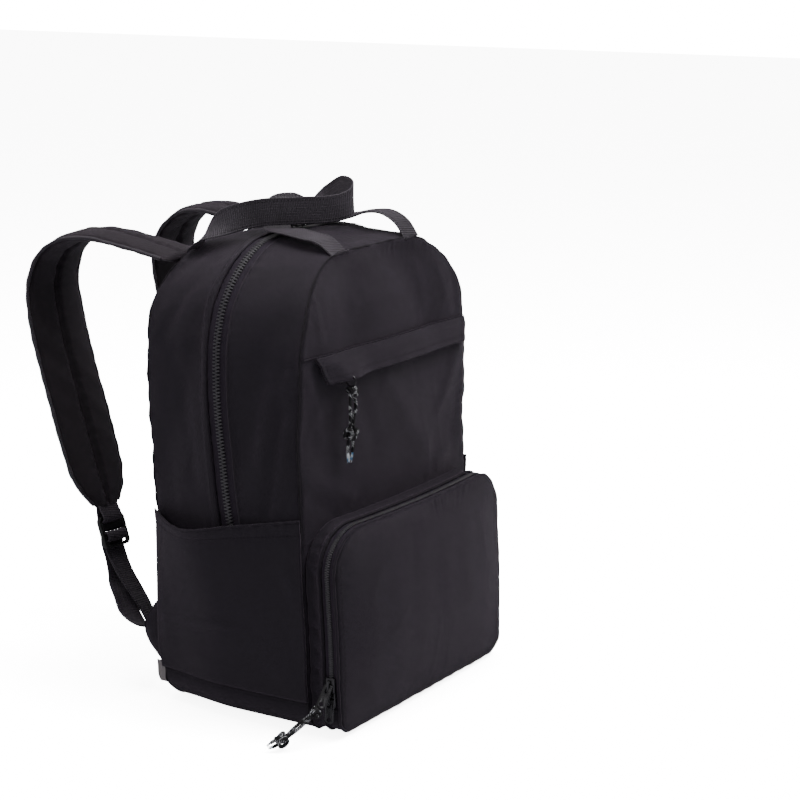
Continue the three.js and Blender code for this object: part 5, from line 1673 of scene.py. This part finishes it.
def make_straps():
    """Padded shoulder straps: a section of two stuffed channels carried along the route, with short
    creases across the bends and puckers at the seams, bound along both rims."""
    for row in SIDES:
        made = evenly(strap_stations(row, 260))
        length = made["length"]
        angle = np.linspace(0, 2 * np.pi, 72, endpoint=False)
        u, v = padded_section(angle)
        s = length[:, None]
        shift = 1.3 * row["side"]
        cross = 0.42 * np.sin(s / 5.3 + 2.2 * u * 6 + 1.5 * np.sin(s / 41 + shift))
        cross = cross * (0.5 + 0.5 * np.sin(s / 33 + 2 * u))
        cross = cross + 0.5 * np.exp(-(((s - 150) / 46) ** 2)) * np.sin(s / 3.2 + 5 * u)
        pucker = 0.35 * np.sin(s / 1.75 + 3 * np.sign(u)) * np.exp(-((np.abs(u) - 0.05) / 0.05) ** 2)
        swell = 1 + 0.08 * np.sin(s / 29 + 4 * u + shift)
        thick = made["thickness"][:, None] * v * swell + np.sign(v) * (cross + pucker) * smooth(np.abs(v) * 5)
        wide = made["width"][:, None] * u * (1 + 0.012 * np.sin(s / 13 + shift))
        grid = carried(made, wide, thick)
        root = on_back(grid[0][:, 0], grid[0][:, 2])
        grid[0] = root
        closing = np.linspace(0, 1, 5)[:, None, None]
        foot = grid[-1:].mean(axis=1, keepdims=True)
        end = grid[-1:] + (foot - grid[-1:]) * closing**2 * 0.999
        grid = np.concatenate([grid[:-1], end])
        pad = add_piece(f"shoulder_strap_{row['name']}", tube(grid), strap_cloth(),
                        replaces=[f"strap_{row['name']}"])
        rims = []
        for edge in (-1, 1):
            centre = made["middle"] + made["across"] * (edge * made["width"][:, None] * 0.488)
            rims.append(bead(centre[2:-2], made["out"][2:-2], 1.75, 0.12))
        add_piece(f"strap_binding_{row['name']}", together(rims), webbing())
        seams = []
        for face in (-1, 1):
            centre = made["middle"] + made["out"] * (face * made["thickness"][:, None] * 0.2)
            seams.append(stitches(centre[6:-8], made["out"][6:-8] * face, 0.0))
            for edge in (-0.43, 0.43):
                path = centre + made["across"] * (edge * made["width"][:, None])
                path = path + made["out"] * (face * made["thickness"][:, None] * 0.03)
                seams.append(stitches(path[6:-10], made["out"][6:-10] * face, 0.0))
        add_piece(f"strap_stitches_{row['name']}", together(seams), thread())


def webbing_section(ribs):
    """Offsets round a flat band: straight across with small ribs, rounded at both edges."""
    u = np.linspace(-0.5, 0.5, ribs * 4 + 1)
    edge = np.clip((0.5 - np.abs(u)) * WEB_WIDTH / 0.8, 0, 1)
    out = WEB_THICKNESS / 2 * (0.35 + 0.65 * np.sqrt(edge)) + 0.11 * np.cos(2 * np.pi * ribs * u) * edge
    return np.concatenate([u, u[::-1]]) * WEB_WIDTH, np.concatenate([out, -out[::-1]])


def ribbon(made):
    """Webbing along stations, its ribs running its length."""
    across, out = webbing_section(sizes().rib_count)
    shape = (len(made["middle"]), len(across))
    return carried(made, np.broadcast_to(across, shape), np.broadcast_to(out, shape))


def strap_end(row):
    """Place and ways at the lower end of a strap."""
    made = strap_stations(row, 20)
    return {name: made[name][-1] for name in ("middle", "along", "across", "out")}


def at_end(end, across, on, out):
    """A point in a strap end's frame."""
    return end["middle"] + end["across"] * across + end["along"] * on + end["out"] * out


def wing_tip(side):
    """Where the webbing leaves a wing."""
    z = WING_FOOT + WING_TIP_SHARE * WING_HEIGHT
    root = on_back(side * WING_X, z)
    return root + np.array([0, WING_REACH + LAY_GAP, 0])


def make_strap_webbing():
    """The keeper round each buckle's first bar, and the webbing from each wing over its third."""
    for row in SIDES:
        side, end = row["side"], strap_end(row)
        route = KEEPER + [(BUCKLE_DROP + BUCKLE_BAR / 2 + 4.7, 0)] + [(on, -out) for on, out in KEEPER[::-1]]
        middles = [at_end(end, 0, on, out) for on, out in route]
        made = evenly(stations(middles, [end["across"]] * len(middles), 64))
        add_piece(f"keeper_webbing_{row['name']}", tube(ribbon(made)), webbing(),
                  replaces=[f"keeper_{row['name']}"])
        bar = BUCKLE_DROP + BUCKLE_BAR / 2 + 2 * BUCKLE_PITCH
        tip = wing_tip(side)
        inner = -side
        middles = [
            tip + np.array([0, 0.4, 0]),
            tip + np.array([0, 9, 4]),
            tip + np.array([side * -3, 21, 12]),
            tip + np.array([side * -9, 32, 25]),
            at_end(end, 0, bar + 40, -9 * inner),
        ]
        across = [(side, 0, 0.5), (side, 0, 0.3), (side, 0, 0), (side, 0.1, 0), (side, 0.1, 0)]
        for on, out in THREADING:
            middles.append(at_end(end, 0, bar + on, out * inner))
            across.append(end["across"])
        for share, inwards, out in TAIL:
            on = bar + 14 + share * (TAIL_LENGTH - 14)
            middles.append(at_end(end, -inwards, on, (out - WRAP_REACH) * inner))
            across.append((side, -0.35 * share, 0))
        made = evenly(stations(middles, across, 210))
        add_piece(f"adjuster_webbing_{row['name']}", tube(ribbon(made)), webbing(),
                  replaces=[f"adjuster_{row['name']}"])


def moulded(middle, side, out, wide, thick, sides=16):
    """Rings of a rounded section, each round its middle point and turned to its ways."""
    angle = np.linspace(0, 2 * np.pi, sides, endpoint=False)
    across = np.sign(np.cos(angle)) * np.abs(np.cos(angle)) ** 0.6 * wide / 2
    lift = np.sign(np.sin(angle)) * np.abs(np.sin(angle)) ** 0.6 * thick / 2
    return middle[:, None] + across[None, :, None] * side + lift[None, :, None] * out


def bar_shape(start, end, out, wide, thick, sides=16):
    """A straight moulded bar from one point to another."""
    t = np.linspace(0, 1, 12)[:, None]
    side = np.cross(out, unit(end - start))
    return tube(moulded(start * (1 - t) + end * t, side, out, wide, thick, sides))


def make_buckles():
    """Ladder buckles: a rounded frame with two bars across it and two ridges on its last side."""
    for row in SIDES:
        end = strap_end(row)
        half = BUCKLE_WIDTH / 2 - 1.7
        first = BUCKLE_DROP + BUCKLE_BAR / 2
        last = first + 3 * BUCKLE_PITCH
        corner = 3.2
        path = chained([
            line((-half, first + corner), (-half, last - corner), (0, 0), 1.5),
            arc((-half + corner, last - corner), corner, 180, 90, 0.8),
            line((-half + corner, last), (half - corner, last), (0, 0), 1.5),
            arc((half - corner, last - corner), corner, 90, 0, 0.8),
            line((half, last - corner), (half, first + corner), (0, 0), 1.5),
            arc((half - corner, first + corner), corner, 0, -90, 0.8),
            line((half - corner, first), (-half + corner, first), (0, 0), 1.5),
            arc((-half + corner, first + corner), corner, -90, -180, 0.8),
        ])[:-1]
        frame_path = end["middle"] + path[:, :1] * end["across"] + path[:, 1:2] * end["along"]
        along = unit(np.roll(frame_path, -1, axis=0) - np.roll(frame_path, 1, axis=0))
        side = np.cross(end["out"], along)[:, None]
        shapes = [tube(moulded(frame_path, side, end["out"], 3.7, BUCKLE_THICKNESS), loop=True)]
        for bar, wide in ((1, 7.4), (2, 3.6)):
            on = first + bar * BUCKLE_PITCH
            start, stop = at_end(end, -half, on, 0), at_end(end, half, on, 0)
            shapes.append(bar_shape(start, stop, end["out"], wide, 3.8))
        for on in (-0.9, 0.9):
            start, stop = at_end(end, -half + 3, last + on, 2.1), at_end(end, half - 3, last + on, 2.1)
            shapes.append(bar_shape(start, stop, end["out"], 0.7, 0.8, 8))
        add_piece(f"ladder_buckle_{row['name']}", together(shapes), plastic(),
                  replaces=[f"buckle_{row['name']}"])


def make_handles():
    """Two webbing loops over the top, each along its listed route, with a row of stitches near
    both edges."""
    crown = BODY_HEIGHT + CROWN_RISE
    handles = (("front", FRONT_HANDLE, FRONT_HANDLE_X), ("rear", REAR_HANDLE, REAR_HANDLE_X))
    for name, route, spread in handles:
        middles = [(x * spread, y * HANDLE_REACH, crown + up * HANDLE_RISE) for x, y, up, _ in route]
        made = evenly(stations(np.array(middles, float), [row[3] for row in route], 190))
        grid = ribbon(made)
        for place in (0, -1):
            grid[place] = on_top(grid[place])
        add_piece(f"handle_webbing_{name}", tube(grid), webbing(), replaces=[f"handle_{name}"])
        rows = []
        for edge in (-0.38, 0.38):
            for face in (-1, 1):
                path = made["middle"] + made["across"] * (edge * WEB_WIDTH) + made["out"] * (face * 0.85)
                rows.append(stitches(path[12:-12], made["out"][12:-12] * face, 0.0))
        add_piece(f"handle_stitches_{name}", together(rows), thread())


# Wings and tab


def make_wings():
    """Stuffed triangular wings in the rear seam: thickness by the listed rows, rounded to the rim."""
    table = np.array(WING_ROWS)
    height = np.linspace(0, 1, 40)
    reach = np.interp(height, table[:, 0], table[:, 1])
    thick = np.interp(height, table[:, 0], table[:, 2])
    kernel = np.ones(7) / 7
    reach = np.convolve(np.pad(reach, 3, mode="edge"), kernel, mode="valid")
    share = np.linspace(0, 1, 18)
    z = WING_FOOT + height * WING_HEIGHT
    for row in SIDES:
        side = row["side"]
        faces = []
        for face in (1, -1):
            round_off = np.sqrt(np.maximum(1 - share**3, 0.0))
            swell = thick[:, None] * round_off * WING_THICKNESS / 2
            swell = swell + 0.35 * np.sin(z[:, None] / 3.4 + 5 * share) * share * (1 - share) * 2
            points = on_back(side * WING_X + face * swell, z[:, None] + 0 * swell)
            points[..., 1] += share * reach[:, None] * WING_REACH
            faces.append(points)
        grid = np.concatenate([faces[0], faces[1][:, ::-1]], axis=1)
        pad = add_piece(f"wing_pad_{row['name']}", tube(grid), nylon(),
                        replaces=[f"wing_{row['name']}"])
        rim = (faces[0][:, -1] + faces[1][:, -1]) / 2
        edge = bead(rim, same_way((0, 1, 0), rim), 1.1, 0.1)
        add_piece(f"wing_edge_{row['name']}", edge, nylon())


def make_tab():
    """The blank cloth tab: a small folded strip that bows a little, with a raised edge along its fold."""
    up = np.linspace(0, TAB_HEIGHT, 24)[:, None]
    reach = np.linspace(0, TAB_LENGTH, 20)[None]
    bow = 0.6 * np.sin(np.pi * up / TAB_HEIGHT) * reach / TAB_LENGTH + 0.15 * np.sin(reach * 1.4 + up / 3)
    points = on_back(-TAB_X - TAB_THICKNESS / 2 - bow, TAB_FOOT + up + 0 * reach)
    points[..., 1] += reach + 0 * up
    cover("blank_tab", points, TAB_THICKNESS, (-1, 0, 0), tab_cloth(), ["label_tab"])
    edge = points[:, -1] + np.array([0.5, 0, 0])
    add_piece("tab_fold", bead(edge, same_way((0, 1, 0), edge), 0.75, 0.05), tab_cloth())


# Metal


def bevelled(node_name, name, body="bag", width=0.00028):
    """A copy of a CAD piece with its points merged and its edges rounded."""
    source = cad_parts[node_name]
    mesh = source.data.copy()
    mesh.name = name
    work = bmesh.new()
    work.from_mesh(mesh)
    bmesh.ops.remove_doubles(work, verts=work.verts, dist=1e-6)
    bmesh.ops.dissolve_limit(work, angle_limit=0.02, verts=work.verts, edges=work.edges)
    work.to_mesh(mesh)
    work.free()
    mesh.materials.clear()
    mesh.materials.append(metal())
    mesh.polygons.foreach_set("material_index", np.zeros(len(mesh.polygons), np.int32))
    piece = bpy.data.objects.new(name, mesh)
    bpy.context.scene.collection.objects.link(piece)
    rounding = piece.modifiers.new("rounding", "BEVEL")
    rounding.width, rounding.segments, rounding.limit_method = width, 2, "ANGLE"
    rounding.angle_limit = math.radians(40)
    mesh.shade_smooth()
    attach(piece, body)
    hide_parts(node_name)
    return piece


def make_metal():
    """Sliders, pull tabs and the wire ring, with rounded edges in gunmetal that is painted lighter on its
    edges and darker in its hollows.
    """
    for name in ("main_slider", "flap_slider", "pocket_slider_first", "pocket_slider_second"):
        bevelled(name, f"{name}_metal")
    bevelled("main_pull", "main_pull_metal", "main_pull")
    bevelled("pocket_pull_first", "pocket_pull_first_metal")
    bevelled("pocket_pull_second", "pocket_pull_second_metal", "pocket_pull")
    bevelled("flap_ring", "flap_ring_wire", "bag", 0.0001)


# Operators, panel and registration


class BACKPACK_OT_stage(bpy.types.Operator):
    """Adds the camera, the pale floor and the soft lights"""

    bl_idname = "backpack.stage"
    bl_label = "Stage"

    def execute(self, context):
        make_stage()
        return {"FINISHED"}


class BACKPACK_OT_cords(bpy.types.Operator):
    """Adds the two knotted cords with their frayed ends"""

    bl_idname = "backpack.cords"
    bl_label = "Cords"

    def execute(self, context):
        for cord in CORDS:
            make_cord(cord)
        return {"FINISHED"}


class BACKPACK_OT_body(bpy.types.Operator):
    """Adds the slack cloth of the main body"""

    bl_idname = "backpack.body"
    bl_label = "Main body"

    def execute(self, context):
        make_body()
        return {"FINISHED"}


class BACKPACK_OT_seams(bpy.types.Operator):
    """Adds the raised seams and their stitches"""

    bl_idname = "backpack.seams"
    bl_label = "Seams"

    def execute(self, context):
        make_seams()
        return {"FINISHED"}


class BACKPACK_OT_side_pockets(bpy.types.Operator):
    """Adds the two open side pockets with gathered hems"""

    bl_idname = "backpack.side_pockets"
    bl_label = "Side pockets"

    def execute(self, context):
        make_side_pockets()
        return {"FINISHED"}


class BACKPACK_OT_front_pocket(bpy.types.Operator):
    """Adds the front pocket with its gusset and piping"""

    bl_idname = "backpack.front_pocket"
    bl_label = "Front pocket"

    def execute(self, context):
        make_front_pocket()
        return {"FINISHED"}


class BACKPACK_OT_flap(bpy.types.Operator):
    """Adds the flap over the upper front zip"""

    bl_idname = "backpack.flap"
    bl_label = "Flap"

    def execute(self, context):
        make_flap()
        return {"FINISHED"}


class BACKPACK_OT_main_zip(bpy.types.Operator):
    """Adds the main zip's tape and teeth"""

    bl_idname = "backpack.main_zip"
    bl_label = "Main zip"

    def execute(self, context):
        make_main_zip()
        return {"FINISHED"}


class BACKPACK_OT_small_zips(bpy.types.Operator):
    """Adds the coil zips of the front pocket and the flap"""

    bl_idname = "backpack.small_zips"
    bl_label = "Small zips"

    def execute(self, context):
        make_small_zips()
        return {"FINISHED"}


class BACKPACK_OT_straps(bpy.types.Operator):
    """Adds the padded shoulder straps"""

    bl_idname = "backpack.straps"
    bl_label = "Shoulder straps"

    def execute(self, context):
        make_straps()
        return {"FINISHED"}


class BACKPACK_OT_strap_webbing(bpy.types.Operator):
    """Adds the webbing at the straps' lower ends"""

    bl_idname = "backpack.strap_webbing"
    bl_label = "Strap webbing"

    def execute(self, context):
        make_strap_webbing()
        return {"FINISHED"}


class BACKPACK_OT_buckles(bpy.types.Operator):
    """Adds the two ladder buckles"""

    bl_idname = "backpack.buckles"
    bl_label = "Buckles"

    def execute(self, context):
        make_buckles()
        return {"FINISHED"}


class BACKPACK_OT_handles(bpy.types.Operator):
    """Adds the two webbing handles"""

    bl_idname = "backpack.handles"
    bl_label = "Handles"

    def execute(self, context):
        make_handles()
        return {"FINISHED"}


class BACKPACK_OT_wings(bpy.types.Operator):
    """Adds the padded wings at the lower rear corners"""

    bl_idname = "backpack.wings"
    bl_label = "Wings"

    def execute(self, context):
        make_wings()
        return {"FINISHED"}


class BACKPACK_OT_tab(bpy.types.Operator):
    """Adds the blank tab"""

    bl_idname = "backpack.tab"
    bl_label = "Blank tab"

    def execute(self, context):
        make_tab()
        return {"FINISHED"}


class BACKPACK_OT_metal(bpy.types.Operator):
    """Adds the sliders, pull tabs and ring"""

    bl_idname = "backpack.metal"
    bl_label = "Metal"

    def execute(self, context):
        make_metal()
        return {"FINISHED"}


ORDER = [
    BACKPACK_OT_stage,
    BACKPACK_OT_cords,
    BACKPACK_OT_body,
    BACKPACK_OT_seams,
    BACKPACK_OT_side_pockets,
    BACKPACK_OT_front_pocket,
    BACKPACK_OT_flap,
    BACKPACK_OT_main_zip,
    BACKPACK_OT_small_zips,
    BACKPACK_OT_straps,
    BACKPACK_OT_strap_webbing,
    BACKPACK_OT_buckles,
    BACKPACK_OT_handles,
    BACKPACK_OT_wings,
    BACKPACK_OT_tab,
    BACKPACK_OT_metal,
]


class BACKPACK_PT_parts(bpy.types.Panel):
    """Lists the backpack's sizes, colours and pieces"""

    bl_idname = "BACKPACK_PT_parts"
    bl_label = "Backpack"
    bl_space_type = "VIEW_3D"
    bl_region_type = "UI"
    bl_category = "Backpack"

    def draw(self, context):
        for group in (context.scene.backpack_sizes, context.scene.backpack_colours):
            column = self.layout.column(align=True)
            for name in group.bl_rna.properties.keys():
                if name not in ("rna_type", "name"):
                    column.prop(group, name)
        column = self.layout.column(align=True)
        for operator in ORDER:
            column.operator(operator.bl_idname)


CLASSES = [BackpackSizes, BackpackColours, *ORDER, BACKPACK_PT_parts]


def register():
    for made in CLASSES:
        bpy.utils.register_class(made)
    bpy.types.Scene.backpack_sizes = bpy.props.PointerProperty(type=BackpackSizes)
    bpy.types.Scene.backpack_colours = bpy.props.PointerProperty(type=BackpackColours)


def unregister():
    del bpy.types.Scene.backpack_colours
    del bpy.types.Scene.backpack_sizes
    for made in reversed(CLASSES):
        bpy.utils.unregister_class(made)


def main():
    register()
    for operator in ORDER:
        family, name = operator.bl_idname.split(".")
        getattr(getattr(bpy.ops, family), name)()


if __name__ == "__main__":
    main()
